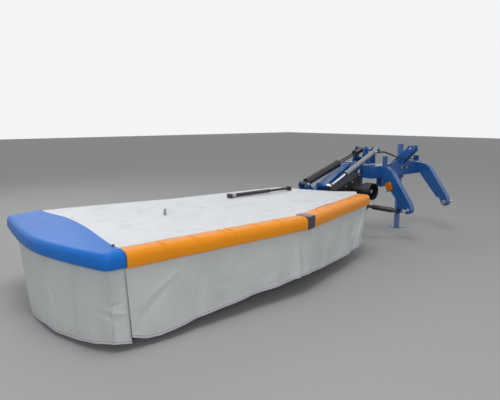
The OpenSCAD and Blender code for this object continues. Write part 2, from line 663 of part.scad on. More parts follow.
module front_tarp() {
    color([0.86, 0.86, 0.84]) seat()
        plate_z(cover_top - 10, cover_top - 10 + cloth, [[2552, -552], [2576, -370], [2596, -200], [2596, -bumper_deep],
            [kink_x + 18, -bumper_deep], inner(24, bumper_deep), inner(inner_long, bumper_deep), [-100, -552]]);
}

module front_skirt() {
    line = [inner(1228, 22), inner(1110, 22), inner(800, 22), inner(430, 22), inner(50, 22), [1270, -22],
        [1530, -22], [1790, -22], [2180, -22], [2602, -22]];
    hem = [bumper_low - 20, hem_low + 48, hem_low + 57, hem_low + 55, hem_low + 79, hem_low + 88, hem_low + 64,
        hem_low + 49, hem_low + 22, hem_low];
    color([0.72, 0.72, 0.7]) seat() curtain(line, hem, bumper_low);
}

// front section shared by the two bumpers, from the face back
function face() = [[0, bumper_low], [0, cover_top - 26], [-8, cover_top - 9], [-24, cover_top],
    [-bumper_deep, cover_top], [-bumper_deep, cover_top - 26], [-60, cover_top - 26], [-60, bumper_low]];

module bumper_outer() {
    color([0.93, 0.28, 0.05]) seat() {
        plate_x(kink_x + 16, bumper_end, face());
        for (x = [2360, 2140, 1917, 1855, 1635, 1430]) plate_z(cover_top - 2, cover_top + 5, [[x + 7, -12],
            [x - 7, -12], [x - 7, -118], [x + 7, -118]]);
    }
}

module bumper_inner() {
    color([0.93, 0.28, 0.05]) seat() {
        translate([kink_x, 0, 0]) rotate([0, 0, inner_tilt]) plate_x(-inner_long, -88, face());
        for (d = [207, 398, 571, 757, 947, 1110]) plate_z(cover_top - 2, cover_top + 5, [inner(d + 7, 12),
            inner(d - 7, 12), inner(d + 104, 118), inner(d + 118, 118)]);
    }
}

module bumper_clip() {
    color([0.04, 0.08, 0.3]) seat()
        plate_z(bumper_low, cover_top + 4, [[kink_x + 16, 3], [kink_x + 4, 4], inner(88, -3),
            inner(88, bumper_deep), [kink_x + 16, -bumper_deep]]);
}

// route of the oil hose, from the cylinder's port to the holder on the headstock
hose_route = [[-733.8, -763.6, 927], [-733.8, -748, 927.1], [-737, -728, 931], [-746, -710, 933], [-762, -695, 931],
    [-786, -680, 922], [-818, -664, 909], [-852, -651, 895], [-888, -640, 880], [-926, -630, 866],
    [-968, -618, 856], [-1014, -602, 850], [-1060, -587, 847], [-1106, -576, 847], [-1146, -571, 849.5],
    [-1175.3, -570, 851]];

function ring(p, dir, r) = let (s = unit(cross(dir, [0.3, 0.2, 1])), u = unit(cross(s, dir)))
    [for (k = [0 : 9]) p + r * (cos(36 * k) * s + sin(36 * k) * u)];

module cord(route, r) {
    n = len(route);
    points = [for (i = [0 : n - 1]) each ring(route[i],
        route[min(i + 1, n - 1)] - route[max(i - 1, 0)], r)];
    sides = [for (i = [0 : n - 2]) for (k = [0 : 9])
        [i * 10 + k, i * 10 + (k + 1) % 10, (i + 1) * 10 + (k + 1) % 10, (i + 1) * 10 + k]];
    polyhedron(points, concat([[for (k = [9 : -1 : 0]) k]], sides, [[for (k = [0 : 9]) (n - 1) * 10 + k]]));
}

module lift_hose() {
    color([0.05, 0.05, 0.05]) seat() cord(hose_route, 8);
}

module hose_coupler() {
    color([0.6, 0.6, 0.58]) seat() {
        rod_x(hose_end[1], hose_end[2], hose_end[0] - 48, hose_end[0] + 8, 12);
        rod_x(hose_end[1], hose_end[2], hose_end[0] - 26, hose_end[0] - 12.3, 17);
    }
}

hitch_frame();
hitch_pins();
top_link_pin();
stand_leg();
lift_hose();
hose_coupler();
turret();
apex_bracket();
stay_tube();
stay_rod();
swing_arm();
belt_guard();
input_guard();
pto_stub();
cylinder_barrel();
cylinder_rod();
spring_tube();
spring_rods();
head_bracket();
carrier_beam();
gearbox();
cutterbar();
skid_shoes();
cover_frame();
top_tarp();
rear_skirt();
end_cap();
end_skirt();
tie_bar();
tie_brackets();
tarp_hook();
guard_frame();
front_tarp();
front_skirt();
bumper_outer();
bumper_inner();
bumper_clip();
disc(1);  // disc_1
disc(2);  // disc_2
disc(3);  // disc_3
disc(4);  // disc_4
disc(5);  // disc_5
disc(6);  // disc_6
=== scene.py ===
import bpy
import bmesh
import json
import math
from mathutils import Matrix, Vector, noise


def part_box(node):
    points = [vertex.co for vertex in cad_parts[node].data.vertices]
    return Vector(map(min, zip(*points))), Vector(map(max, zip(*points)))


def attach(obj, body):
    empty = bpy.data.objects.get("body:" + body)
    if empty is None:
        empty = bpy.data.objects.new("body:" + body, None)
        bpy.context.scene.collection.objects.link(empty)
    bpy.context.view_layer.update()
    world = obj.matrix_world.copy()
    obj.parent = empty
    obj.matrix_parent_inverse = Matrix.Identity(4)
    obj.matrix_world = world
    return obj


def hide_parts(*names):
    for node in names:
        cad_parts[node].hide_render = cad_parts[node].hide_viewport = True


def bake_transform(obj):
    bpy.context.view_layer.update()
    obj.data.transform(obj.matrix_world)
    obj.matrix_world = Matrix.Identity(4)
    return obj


# Side disc mower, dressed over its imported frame. Metres, +X outboard, +Y travel, +Z up.
# cover(x, y, z) counts from the cover's inner front corner, as the part's source does.

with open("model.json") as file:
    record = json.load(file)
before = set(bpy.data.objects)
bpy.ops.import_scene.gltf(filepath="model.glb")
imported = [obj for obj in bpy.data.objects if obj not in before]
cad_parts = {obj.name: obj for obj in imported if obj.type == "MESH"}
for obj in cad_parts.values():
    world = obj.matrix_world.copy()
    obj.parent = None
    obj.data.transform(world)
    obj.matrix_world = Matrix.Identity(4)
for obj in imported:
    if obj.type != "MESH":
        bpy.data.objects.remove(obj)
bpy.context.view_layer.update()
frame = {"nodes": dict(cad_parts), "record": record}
scene = bpy.context.scene
scene.view_settings.view_transform = "Standard"
print("frame loaded:", len(frame["nodes"]), "nodes")

capWidest = 2.900
coverOrigin = Vector((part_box("end_cap")[1].x - capWidest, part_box("bumper_outer")[1].y, 0.0))


def cover(x, y, z):
    return coverOrigin + Vector((x, y, z))


# The camera stands where the photo was taken from.
photoView = {
    "position": (3.708, 2.320, 1.288),
    "turn": -130.37,  # degrees from +X
    "dip": 9.63,  # degrees below the horizon
    "focal": 480.0,  # pixels, in a frame of frameWidth
    "frameWidth": 500.0,
    "sensor": 36.0,
    "nearest": 0.05,
    "farthest": 200.0,
}


def aimCamera(view):
    data = bpy.data.cameras.new("photoCamera")
    data.sensor_width = view["sensor"]
    data.lens = view["focal"] / view["frameWidth"] * view["sensor"]
    data.clip_start = view["nearest"]
    data.clip_end = view["farthest"]
    camera = bpy.data.objects.new("photoCamera", data)
    scene.collection.objects.link(camera)
    turn = math.radians(view["turn"])
    dip = math.radians(view["dip"])
    sight = Vector((math.cos(dip) * math.cos(turn), math.cos(dip) * math.sin(turn), -math.sin(dip)))
    camera.location = cover(*view["position"])
    camera.rotation_euler = sight.to_track_quat("-Z", "Y").to_euler()
    scene.camera = camera


aimCamera(photoView)
print("camera placed")

# Oil hose: from the port of the lift cylinder, over the post, to the holder on the headstock.
oilHose = {
    "route": [(-0.7338, -0.7636, 0.9270), (-0.7338, -0.7480, 0.9271), (-0.7370, -0.7280, 0.9310),
              (-0.7460, -0.7100, 0.9330), (-0.7620, -0.6950, 0.9310), (-0.7860, -0.6800, 0.9220),
              (-0.8180, -0.6640, 0.9090), (-0.8520, -0.6510, 0.8950), (-0.8880, -0.6400, 0.8800),
              (-0.9260, -0.6300, 0.8660), (-0.9680, -0.6180, 0.8560), (-1.0140, -0.6020, 0.8500),
              (-1.0600, -0.5870, 0.8470), (-1.1060, -0.5760, 0.8470), (-1.1460, -0.5710, 0.8495),
              (-1.1753, -0.5700, 0.8510)],
    "diameter": 0.016,
    "sides": 16,
    "bends": ((-0.96, -0.62, 0.86), (-0.80, -0.67, 0.91)),  # two points on the hose near the turret; nothing reads them
}


def linkMesh(name, bm):
    # the finished bmesh as an object of the scene
    mesh = bpy.data.meshes.new(name)
    bm.to_mesh(mesh)
    bm.free()
    piece = bpy.data.objects.new(name, mesh)
    scene.collection.objects.link(piece)
    return piece


def smoothFaces(piece):
    piece.data.polygons.foreach_set("use_smooth", [True] * len(piece.data.polygons))


def ringAt(bm, centre, heading, radius, sides):
    turned = heading.to_track_quat("Z", "Y").to_matrix().to_4x4()
    made = bmesh.ops.create_circle(bm, cap_ends=False, radius=radius, segments=sides,
                                   matrix=Matrix.Translation(centre) @ turned)
    return made["verts"]


def bridgeRings(bm, first, second):
    edges = [e for ring in (first, second) for v in ring for e in v.link_edges
             if e.verts[0] in ring and e.verts[1] in ring]
    bmesh.ops.bridge_loops(bm, edges=list(dict.fromkeys(edges)))


def tubeAlong(bm, points, radii, sides):
    # a closed round tube through the points
    rings = []
    for i, point in enumerate(points):
        heading = points[min(i + 1, len(points) - 1)] - points[max(i - 1, 0)]
        rings.append(ringAt(bm, point, heading, radii[i], sides))
    for first, second in zip(rings, rings[1:]):
        bridgeRings(bm, first, second)
    for ring in (rings[0], rings[-1]):
        bmesh.ops.contextual_create(bm, geom=ring)
    bmesh.ops.recalc_face_normals(bm, faces=bm.faces)


def lineLength(line):
    return sum((b - a).length for a, b in zip(line, line[1:]))


def makeOilHose(values):
    points = [cover(*p) for p in values["route"]]
    radius = values["diameter"] / 2
    bm = bmesh.new()
    tubeAlong(bm, points, [radius] * len(points), values["sides"])
    hose = linkMesh("oilHose", bm)
    smoothFaces(hose)
    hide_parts("lift_hose")
    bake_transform(hose)
    return hose


hose = makeOilHose(oilHose)
print("oil hose laid")

# Materials. Each finish has one builder, and the pieces share its result.
# reach is the height above the ground, in metres, where dirt has faded out.
dirt = {
    "soil": (0.16, 0.13, 0.09),
    "soilReach": 0.16,
    "grassDust": (0.40, 0.38, 0.30),
    "grassReach": 0.11,
    "grey": 0.30,
}
clothWeave = {
    "threads": 260.0,
    "hemStrip": 0.012,
    # a thin line just above the hem strip, darkened as painted shade under the hem's raised edge
    "seamAt": 0.0145,
    "seamHalf": 0.0018,
    "hemColour": (0.60, 0.56, 0.62),
    "seamColour": (0.33, 0.33, 0.35),
}
black, white = (0.0, 0.0, 0.0), (1.0, 1.0, 1.0)


def newMaterial(name):
    material = bpy.data.materials.new(name)
    material.use_nodes = True
    tree = material.node_tree
    shader = tree.nodes["Principled BSDF"]
    return material, tree, shader


def addNode(tree, kind, **values):
    node = tree.nodes.new(kind)
    for key, value in values.items():
        setattr(node, key, value)
    return node


def objectNoise(tree, scale, detail, stretch=(1.0, 1.0, 1.0)):
    place = addNode(tree, "ShaderNodeTexCoord")
    mapping = addNode(tree, "ShaderNodeMapping")
    mapping.inputs["Scale"].default_value = stretch
    tree.links.new(place.outputs["Object"], mapping.inputs["Vector"])
    grain = addNode(tree, "ShaderNodeTexNoise")
    grain.inputs["Scale"].default_value = scale
    grain.inputs["Detail"].default_value = detail
    tree.links.new(mapping.outputs["Vector"], grain.inputs["Vector"])
    return grain.outputs["Fac"]


def ramp(tree, source, low, high, stops=(0.35, 0.65)):
    node = addNode(tree, "ShaderNodeValToRGB")
    node.color_ramp.elements[0].position = stops[0]
    node.color_ramp.elements[1].position = stops[1]
    node.color_ramp.elements[0].color = (*low, 1.0)
    node.color_ramp.elements[1].color = (*high, 1.0)
    tree.links.new(source, node.inputs["Fac"])
    return node.outputs["Color"]


def mixColour(tree, factor, first, second):
    # inputs 6 and 7 and output 2 are the colour sockets, which share their names with other kinds
    node = addNode(tree, "ShaderNodeMix", data_type="RGBA")
    tree.links.new(factor, node.inputs["Factor"])
    for socket, value in ((node.inputs[6], first), (node.inputs[7], second)):
        if isinstance(value, tuple):
            socket.default_value = (*value, 1.0)
        else:
            tree.links.new(value, socket)
    return node.outputs[2]


def bump(tree, shader, height, strength, distance):
    node = addNode(tree, "ShaderNodeBump")
    node.inputs["Strength"].default_value = strength
    node.inputs["Distance"].default_value = distance
    tree.links.new(height, node.inputs["Height"])
    tree.links.new(node.outputs["Normal"], shader.inputs["Normal"])


def roughRange(tree, shader, source, low, high):
    node = addNode(tree, "ShaderNodeMapRange")
    node.inputs["To Min"].default_value = low
    node.inputs["To Max"].default_value = high
    tree.links.new(source, node.inputs["Value"])
    tree.links.new(node.outputs["Result"], shader.inputs["Roughness"])


def shade(colour, share):
    return tuple(c * share for c in colour)


def lowDust(tree, base, dust, reach):
    # soil and dry grass dust that fades out above a height of reach
    place = addNode(tree, "ShaderNodeTexCoord")
    split = addNode(tree, "ShaderNodeSeparateXYZ")
    tree.links.new(place.outputs["Object"], split.inputs["Vector"])
    height = addNode(tree, "ShaderNodeMapRange")
    height.inputs["From Min"].default_value = 0.0
    height.inputs["From Max"].default_value = reach
    height.inputs["To Min"].default_value = 1.0
    height.inputs["To Max"].default_value = 0.0
    tree.links.new(split.outputs["Z"], height.inputs["Value"])
    cloud = addNode(tree, "ShaderNodeMath", operation="MULTIPLY")
    tree.links.new(height.outputs["Result"], cloud.inputs[0])
    clumps = ramp(tree, objectNoise(tree, 16.0, 7.0), shade(white, 0.1), shade(white, 0.8))
    tree.links.new(clumps, cloud.inputs[1])
    return mixColour(tree, cloud.outputs["Value"], base, dust)


def paint(name, colour, roughness, dust):
    material, tree, shader = newMaterial(name)
    patches = objectNoise(tree, 3.0, 6.0)
    tone = ramp(tree, patches, shade(colour, 0.86), colour)
    dusty = tuple(c * (1 - dust) + dirt["grey"] * dust for c in colour)
    specks = ramp(tree, objectNoise(tree, 38.0, 8.0), black, white, (0.52, 0.74))
    speckled = mixColour(tree, specks, tone, dusty)
    soiled = lowDust(tree, speckled, dirt["soil"], dirt["soilReach"])
    tree.links.new(soiled, shader.inputs["Base Color"])
    roughRange(tree, shader, patches, roughness - 0.06, roughness + 0.12)
    shader.inputs["Coat Weight"].default_value = 0.30
    shader.inputs["Coat Roughness"].default_value = 0.18
    bump(tree, shader, objectNoise(tree, 420.0, 2.0), 0.12, 0.0006)
    return material


def mouldedPlastic(name, colour, roughness, level):
    # level is how strongly the surface mirrors
    material, tree, shader = newMaterial(name)
    patches = objectNoise(tree, 2.4, 5.0)
    tone = ramp(tree, patches, shade(colour, 0.93), colour)
    scratches = objectNoise(tree, 26.0, 8.0, (0.3, 1.0, 1.0))
    scuffs = ramp(tree, scratches, black, shade(white, 0.5), (0.60, 0.80))
    faded = tuple(c * 0.90 + 0.035 for c in colour)
    tree.links.new(mixColour(tree, scuffs, tone, faded), shader.inputs["Base Color"])
    roughRange(tree, shader, objectNoise(tree, 9.0, 5.0), roughness - 0.05, roughness + 0.10)
    shader.inputs["Specular IOR Level"].default_value = level
    bump(tree, shader, objectNoise(tree, 900.0, 2.0), 0.10, 0.0005)
    return material


def coatedCloth(name, colour, stainAndShade):
    # UV in metres: across the cloth, and up from its hem
    material, tree, shader = newMaterial(name)
    place = addNode(tree, "ShaderNodeUVMap")
    threads = []
    for turned in (0.0, math.pi / 2):
        mapping = addNode(tree, "ShaderNodeMapping")
        mapping.inputs["Rotation"].default_value = (0.0, 0.0, turned)
        tree.links.new(place.outputs["UV"], mapping.inputs["Vector"])
        wave = addNode(tree, "ShaderNodeTexWave")
        wave.inputs["Scale"].default_value = clothWeave["threads"]
        tree.links.new(mapping.outputs["Vector"], wave.inputs["Vector"])
        threads.append(wave.outputs["Fac"])
    crossed = addNode(tree, "ShaderNodeMath", operation="MAXIMUM")
    tree.links.new(threads[0], crossed.inputs[0])
    tree.links.new(threads[1], crossed.inputs[1])
    patches = objectNoise(tree, 2.2, 6.0)
    streaks = objectNoise(tree, 7.0, 6.0, (1.0, 1.0, 0.25))
    tone = ramp(tree, patches, shade(colour, 0.95), colour)
    # streaks of the stain colour: real stains on the skirts, painted shade of the wrinkles on the tarp
    stainAndShadeRuns = ramp(tree, streaks, black, shade(white, 0.45), (0.50, 0.80))
    stainedAndShaded = mixColour(tree, stainAndShadeRuns, tone, stainAndShade)
    dusty = lowDust(tree, stainedAndShaded, dirt["grassDust"], dirt["grassReach"])
    split = addNode(tree, "ShaderNodeSeparateXYZ")
    tree.links.new(place.outputs["UV"], split.inputs["Vector"])
    strip = addNode(tree, "ShaderNodeMath", operation="LESS_THAN")
    strip.inputs[1].default_value = clothWeave["hemStrip"]
    # painted shade: a thin dark line along the top edge of the raised hem
    hemShade = addNode(tree, "ShaderNodeMath", operation="COMPARE")
    hemShade.inputs[1].default_value = clothWeave["seamAt"]
    hemShade.inputs[2].default_value = clothWeave["seamHalf"]
    for node in (strip, hemShade):
        tree.links.new(split.outputs["Y"], node.inputs[0])
    hemmed = mixColour(tree, strip.outputs["Value"], dusty, clothWeave["hemColour"])
    hemAndShade = mixColour(tree, hemShade.outputs["Value"], hemmed, clothWeave["seamColour"])
    tree.links.new(hemAndShade, shader.inputs["Base Color"])
    roughRange(tree, shader, streaks, 0.44, 0.60)
    shader.inputs["Sheen Weight"].default_value = 0.10
    bump(tree, shader, crossed.outputs["Value"], 0.14, 0.0004)
    return material


def bareMetal(name, colour, roughness):
    material, tree, shader = newMaterial(name)
    patches = objectNoise(tree, 14.0, 6.0)
    tree.links.new(ramp(tree, patches, shade(colour, 0.72), colour), shader.inputs["Base Color"])
    shader.inputs["Metallic"].default_value = 1.0
    roughRange(tree, shader, objectNoise(tree, 60.0, 4.0), roughness - 0.08, roughness + 0.14)
    bump(tree, shader, objectNoise(tree, 300.0, 3.0), 0.10, 0.0004)
    return material


def wornSteel(name, colour, rust):
    material, tree, shader = newMaterial(name)
    patches = objectNoise(tree, 11.0, 8.0)
    tone = ramp(tree, patches, shade(colour, 0.7), colour)
    spots = ramp(tree, objectNoise(tree, 30.0, 9.0), black, shade(white, 0.8), (0.54, 0.68))
    tree.links.new(mixColour(tree, spots, tone, rust), shader.inputs["Base Color"])
    shader.inputs["Metallic"].default_value = 0.75
    roughRange(tree, shader, patches, 0.34, 0.58)
    bump(tree, shader, objectNoise(tree, 160.0, 5.0), 0.16, 0.0006)
    return material


def rubber(name, colour):
    material, tree, shader = newMaterial(name)
    patches = objectNoise(tree, 24.0, 5.0)
    tree.links.new(ramp(tree, patches, shade(colour, 0.75), colour), shader.inputs["Base Color"])
    roughRange(tree, shader, patches, 0.50, 0.68)
    bump(tree, shader, objectNoise(tree, 700.0, 2.0), 0.15, 0.0004)
    return material


def reflectorGlow(name, colour):
    material, tree, shader = newMaterial(name)
    cells = addNode(tree, "ShaderNodeTexVoronoi")
    cells.inputs["Scale"].default_value = 260.0
    place = addNode(tree, "ShaderNodeTexCoord")
    tree.links.new(place.outputs["Object"], cells.inputs["Vector"])
    tree.links.new(ramp(tree, cells.outputs["Distance"], colour, shade(colour, 0.55), (0.1, 0.8)),
                   shader.inputs["Base Color"])
    shader.inputs["Roughness"].default_value = 0.18
    shader.inputs["Coat Weight"].default_value = 0.8
    bump(tree, shader, cells.outputs["Distance"], 0.5, 0.0008)
    return material


finishes = {
    "blue_paint": paint("bluePaint", (0.010, 0.100, 0.340), roughness=0.32, dust=0.04),
    "orange_bumper": mouldedPlastic("orangeBumper", (0.97, 0.330, 0.004), roughness=0.34, level=0.34),
    "blue_cap": mouldedPlastic("blueCap", (0.010, 0.170, 0.610), roughness=0.38, level=0.20),
    # on the tarp the stain colour is painted shade: bluish-grey streaks that stand in for the shading of
    # its wrinkles
    "tarp_white": coatedCloth("whiteTarp", (0.76, 0.77, 0.78), stainAndShade=(0.50, 0.52, 0.54)),
    # the skirts' base colour is painted shade: the same white cloth as the tarp, made darker because the
    # skirts hang in shade
    "skirt_grey": coatedCloth("paleSkirt", (0.62, 0.645, 0.635), stainAndShade=(0.46, 0.47, 0.44)),
    "black_paint": paint("blackPaint", (0.009, 0.009, 0.010), roughness=0.44, dust=0.03),
    "black_plastic": mouldedPlastic("blackPlastic", (0.014, 0.014, 0.016), roughness=0.46, level=0.40),
    "grey_paint": paint("greyPaint", (0.30, 0.31, 0.33), roughness=0.36, dust=0.08),
    "zinc": bareMetal("zincPlate", (0.60, 0.59, 0.56), roughness=0.34),
    "chrome_rod": bareMetal("chromeRod", (0.78, 0.79, 0.80), roughness=0.14),
    "iron": paint("gearboxGrey", (0.10, 0.105, 0.11), roughness=0.50, dust=0.15),
    "knife_steel": wornSteel("bladeSteel", (0.24, 0.24, 0.25), rust=(0.16, 0.08, 0.04)),
    "hose_rubber": rubber("hoseRubber", (0.016, 0.016, 0.017)),
}
navyClip = mouldedPlastic("navyClip", (0.010, 0.018, 0.060), roughness=0.20, level=0.90)
amberReflector = reflectorGlow("amberReflector", (0.90, 0.22, 0.01))
slotOfNode = {s["node"]: s["material_slot"] for s in frame["record"]["subparts"]}
bodyOfNode = {n: b for b, names in frame["record"]["behaviour"]["bodies"].items() for n in names}
for nodeName, nodeObject in frame["nodes"].items():
    nodeObject.data.materials.clear()
    nodeObject.data.materials.append(finishes[slotOfNode[nodeName]])
hose.data.materials.append(finishes["hose_rubber"])
print("finishes made:", len(finishes))

# Helpers that every piece uses. Angles are in degrees; an edge steeper than sharp stays crisp.
cadForm = {"merge": 0.00002, "flat": 0.6, "sharp": 42.0, "roundFrom": 30.0}
mouldedSharp = 50.0
steelSharp = 30.0


def finishPiece(name, bm, finish, body, replaces=(), sharp=None):
    # finish is a slot's name, or a material that no slot has
    piece = linkMesh(name, bm)
    piece.data.materials.append(finishes[finish] if isinstance(finish, str) else finish)
    smoothFaces(piece)
    if sharp:
        piece.data.set_sharp_from_angle(angle=math.radians(sharp))
    if replaces:
        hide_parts(*replaces)
    if body:
        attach(piece, body)
    return piece


def addModifier(piece, kind, **values):
    modifier = piece.modifiers.new(kind.title(), kind)
    for key, value in values.items():
        setattr(modifier, key, value)


def soften(nodeName, width, finish):
    # a merged copy of a CAD node with its edges rounded; it stands for the node
    bm = bmesh.new()
    bm.from_mesh(frame["nodes"][nodeName].data)
    bmesh.ops.remove_doubles(bm, verts=bm.verts, dist=cadForm["merge"])
    bmesh.ops.dissolve_limit(bm, angle_limit=math.radians(cadForm["flat"]), verts=bm.verts,
                             edges=bm.edges)
    words = nodeName.split("_")
    name = words[0] + "".join(w.title() for w in words[1:])
    slot = slotOfNode[nodeName]
    piece = finishPiece(name, bm, finish or slot, bodyOfNode[nodeName], (nodeName,), cadForm["sharp"])
    addModifier(piece, "BEVEL", width=width, segments=2, limit_method="ANGLE", profile=0.5,
                angle_limit=math.radians(cadForm["roundFrom"]), use_clamp_overlap=True)


def atPlace(place, axis, spin=0.0):
    # matrix that stands a piece on a place, its own Z along axis
    upright = axis.to_track_quat("Z", "Y").to_matrix().to_4x4()
    return Matrix.Translation(place) @ upright @ Matrix.Rotation(spin, 4, "Z")


def bevelEdges(bm, edges, width):
    bmesh.ops.bevel(bm, geom=list(dict.fromkeys(edges)), offset=width, affect="EDGES", segments=2,
                    profile=0.5, material=-1)


def addBar(bm, place, axis, long, radius, sides, chamfer=0.0, low=0.0):
    # round bar that stands on place along axis, its rims rounded where it has a chamfer
    standing = atPlace(place, axis.normalized()) @ Matrix.Translation((0, 0, low + long / 2))
    made = bmesh.ops.create_cone(bm, cap_ends=True, segments=sides, radius1=radius, radius2=radius,
                                 depth=long, matrix=standing)
    if chamfer:
        edges = [e for v in made["verts"] for e in v.link_edges]
        bevelEdges(bm, [e for e in edges if max(len(f.verts) for f in e.link_faces) == sides], chamfer)


def addBlock(bm, low, high, rounding, turned):
    low, high = Vector(low), Vector(high)
    sized = Matrix.Translation((low + high) / 2) @ Matrix.Diagonal((*(high - low), 1.0))
    made = bmesh.ops.create_cube(bm, size=1.0, matrix=turned @ sized)
    bevelEdges(bm, [e for v in made["verts"] for e in v.link_edges], rounding)


# A bolt's sizes are shares of its width across the flats.
boltForm = {
    "washer": (0.11, 0.64),
    "headRadius": 0.577,
    "headTall": 0.5,
    "headMiddle": 0.36,
    "chamfer": 0.06,
    "spin": 0.3,
}


def addBolt(bm, place, axis, across):
    # hexagon head on a washer, with a chamfered crown
    axis = axis.normalized()
    thick, wide = boltForm["washer"]
    addBar(bm, place, axis, across * thick, across * wide, 24)
    standing = atPlace(place, axis, boltForm["spin"])
    radius, tall = across * boltForm["headRadius"], across * boltForm["headTall"]
    raised = Matrix.Translation((0, 0, across * boltForm["headMiddle"]))
    head = bmesh.ops.create_cone(bm, cap_ends=True, segments=6, radius1=radius, radius2=radius,
                                 depth=tall, matrix=standing @ raised)
    edges = [e for v in head["verts"] for e in v.link_edges]
    crown = [e for e in edges if min((v.co - place).dot(axis) for v in e.verts) > tall]
    bevelEdges(bm, crown, across * boltForm["chamfer"])


def between(line, x):
    # value of a broken line, given as (x, value) pairs, at x
    if x <= line[0][0]:
        return line[0][1]
    for (x0, v0), (x1, v1) in zip(line, line[1:]):
        if x <= x1:
            return v0 + (v1 - v0) * (x - x0) / (x1 - x0)
    return line[-1][1]


def smoothStep(low, high, value):
    t = max(0.0, min(1.0, (value - low) / (high - low)))
    return t * t * (3 - 2 * t)


def cornerNormal(line, i):
    # inward sideways step at a corner of a flat line that runs clockwise, per metre
    before = (line[max(i, 1)] - line[max(i, 1) - 1]).normalized()
    after = (line[min(i, len(line) - 2) + 1] - line[min(i, len(line) - 2)]).normalized()
    both = before + after
    return Vector((both.y, -both.x, 0.0)) / (1 + before.dot(after))


def insetLine(line, distance):
    return [p + cornerNormal(line, i) * distance for i, p in enumerate(line)]


def roundedLine(line):
    # the same corners joined by one smooth curve, with perSpan points from each to the next
    perSpan = 6
    result = []
    for i in range(len(line) - 1):
        p0, p1, p2, p3 = line[max(i - 1, 0)], line[i], line[i + 1], line[min(i + 2, len(line) - 1)]
        reach = (p2 - p1).length / 3
        d1 = (p2 - p0).normalized() * reach
        d2 = (p3 - p1).normalized() * reach
        for k in range(perSpan):
            t = k / perSpan
            a, b, c, d = (1 - t) ** 3, 3 * t * (1 - t) ** 2, 3 * t * t * (1 - t), t ** 3
            result.append(p1 * a + (p1 + d1) * b + (p2 - d2) * c + p2 * d)
    return result + [line[-1]]


def alongLine(line, share):
    # point and inward direction at a share of a flat line's length
    spans = [(line[i + 1] - line[i]).length for i in range(len(line) - 1)]
    reach = share * sum(spans)
    for i, span in enumerate(spans):
        if reach <= span or i == len(spans) - 1:
            mix = reach / span
            normal = cornerNormal(line, i) * (1 - mix) + cornerNormal(line, i + 1) * mix
            return line[i].lerp(line[i + 1], mix), normal.normalized()
        reach -= span


def writeUv(piece, flat):
    layer = piece.data.uv_layers.new(name="UVMap")
    for loop in piece.data.loops:
        layer.data[loop.index].uv = flat[loop.vertex_index]


clothThick = 0.0022

# Top tarp: one sheet from the rear hem to the bumper, stretched over the frame's cross bars.
topTarp = {
    "inner": -0.11,
    "outer": 2.53,
    "outerPull": 10,  # only the outermost columns follow outerEdge
    "rearEdge": [(-0.11, -0.568), (0.17, -0.85), (0.24, -1.09), (0.33, -1.27), (0.62, -1.32),
                 (0.98, -1.34), (1.50, -1.37), (1.95, -1.46), (2.27, -1.52), (2.53, -1.552)],
    "frontEdge": [(-0.11, -0.560), (0.004, -0.462), (1.183, -0.127), (2.53, -0.127)],
    "outerEdge": [(-1.50, 2.576), (-1.39, 2.572), (-1.10, 2.530), (-0.735, 2.540), (-0.37, 2.576),
                  (-0.20, 2.596), (-0.10, 2.600)],
    "height": 0.5765,
    "edgeFade": (0.12, 0.10),  # shares of the depth over which folds die out, rear and front
    "bars": (0.29, 1.02, 1.76, 2.46),
    "sag": 0.004,
    "sagReach": (0.02, 0.30),
    "knuckles": (0.30, 1.50, 2.45),  # the hinge's knuckles under the cloth
    "knuckleRise": 0.013,
    "knuckleLine": -0.56,
    "knuckleSize": (0.07, 0.05),
    "crown": 0.013,  # rise towards the rear
    "crownRear": (-0.45, -0.85),
    "crownOuter": (2.56, 2.30),
    "crownInner": (-0.10, 0.25),
    "wrinkle": 0.0028,
    # share, waves per metre along x and y of each of two fields, and a seed
    "wrinkles": [(1.0, (2.1, 1.4), (-1.2, 3.2), 0.4), (0.55, (9.0, -2.0), (0.0, 2.2), 3.1),
                 (0.35, (3.0, 16.0), (1.5, -3.0), 7.7)],
    "hem": 0.030,
    "hemProud": 0.0016,
    # raised folds: from x, y to x, y, then half width and height
    "ridges": [(2.57, -0.68, 2.38, -0.56, 0.042, 0.009), (2.38, -0.56, 2.02, -0.72, 0.050, 0.010),
               (2.51, -0.48, 2.31, -0.35, 0.038, 0.008), (1.97, -0.61, 1.39, -0.86, 0.055, 0.008),
               (2.38, -0.96, 1.99, -1.02, 0.050, 0.009)],
    "hinge": ((1.2, -0.572, 0.57), (1.2, -0.546, 0.57)),
    "steps": (260, 150),
    "flat": (2.75, 1.43),
    "area": 2.90,
}


def fromLine(x, y, x0, y0, x1, y1):
    # distance of a flat point from a short straight line
    share = ((x - x0) * (x1 - x0) + (y - y0) * (y1 - y0)) / ((x1 - x0) ** 2 + (y1 - y0) ** 2)
    share = max(0.0, min(1.0, share))
    return math.hypot(x - x0 - share * (x1 - x0), y - y0 - share * (y1 - y0))


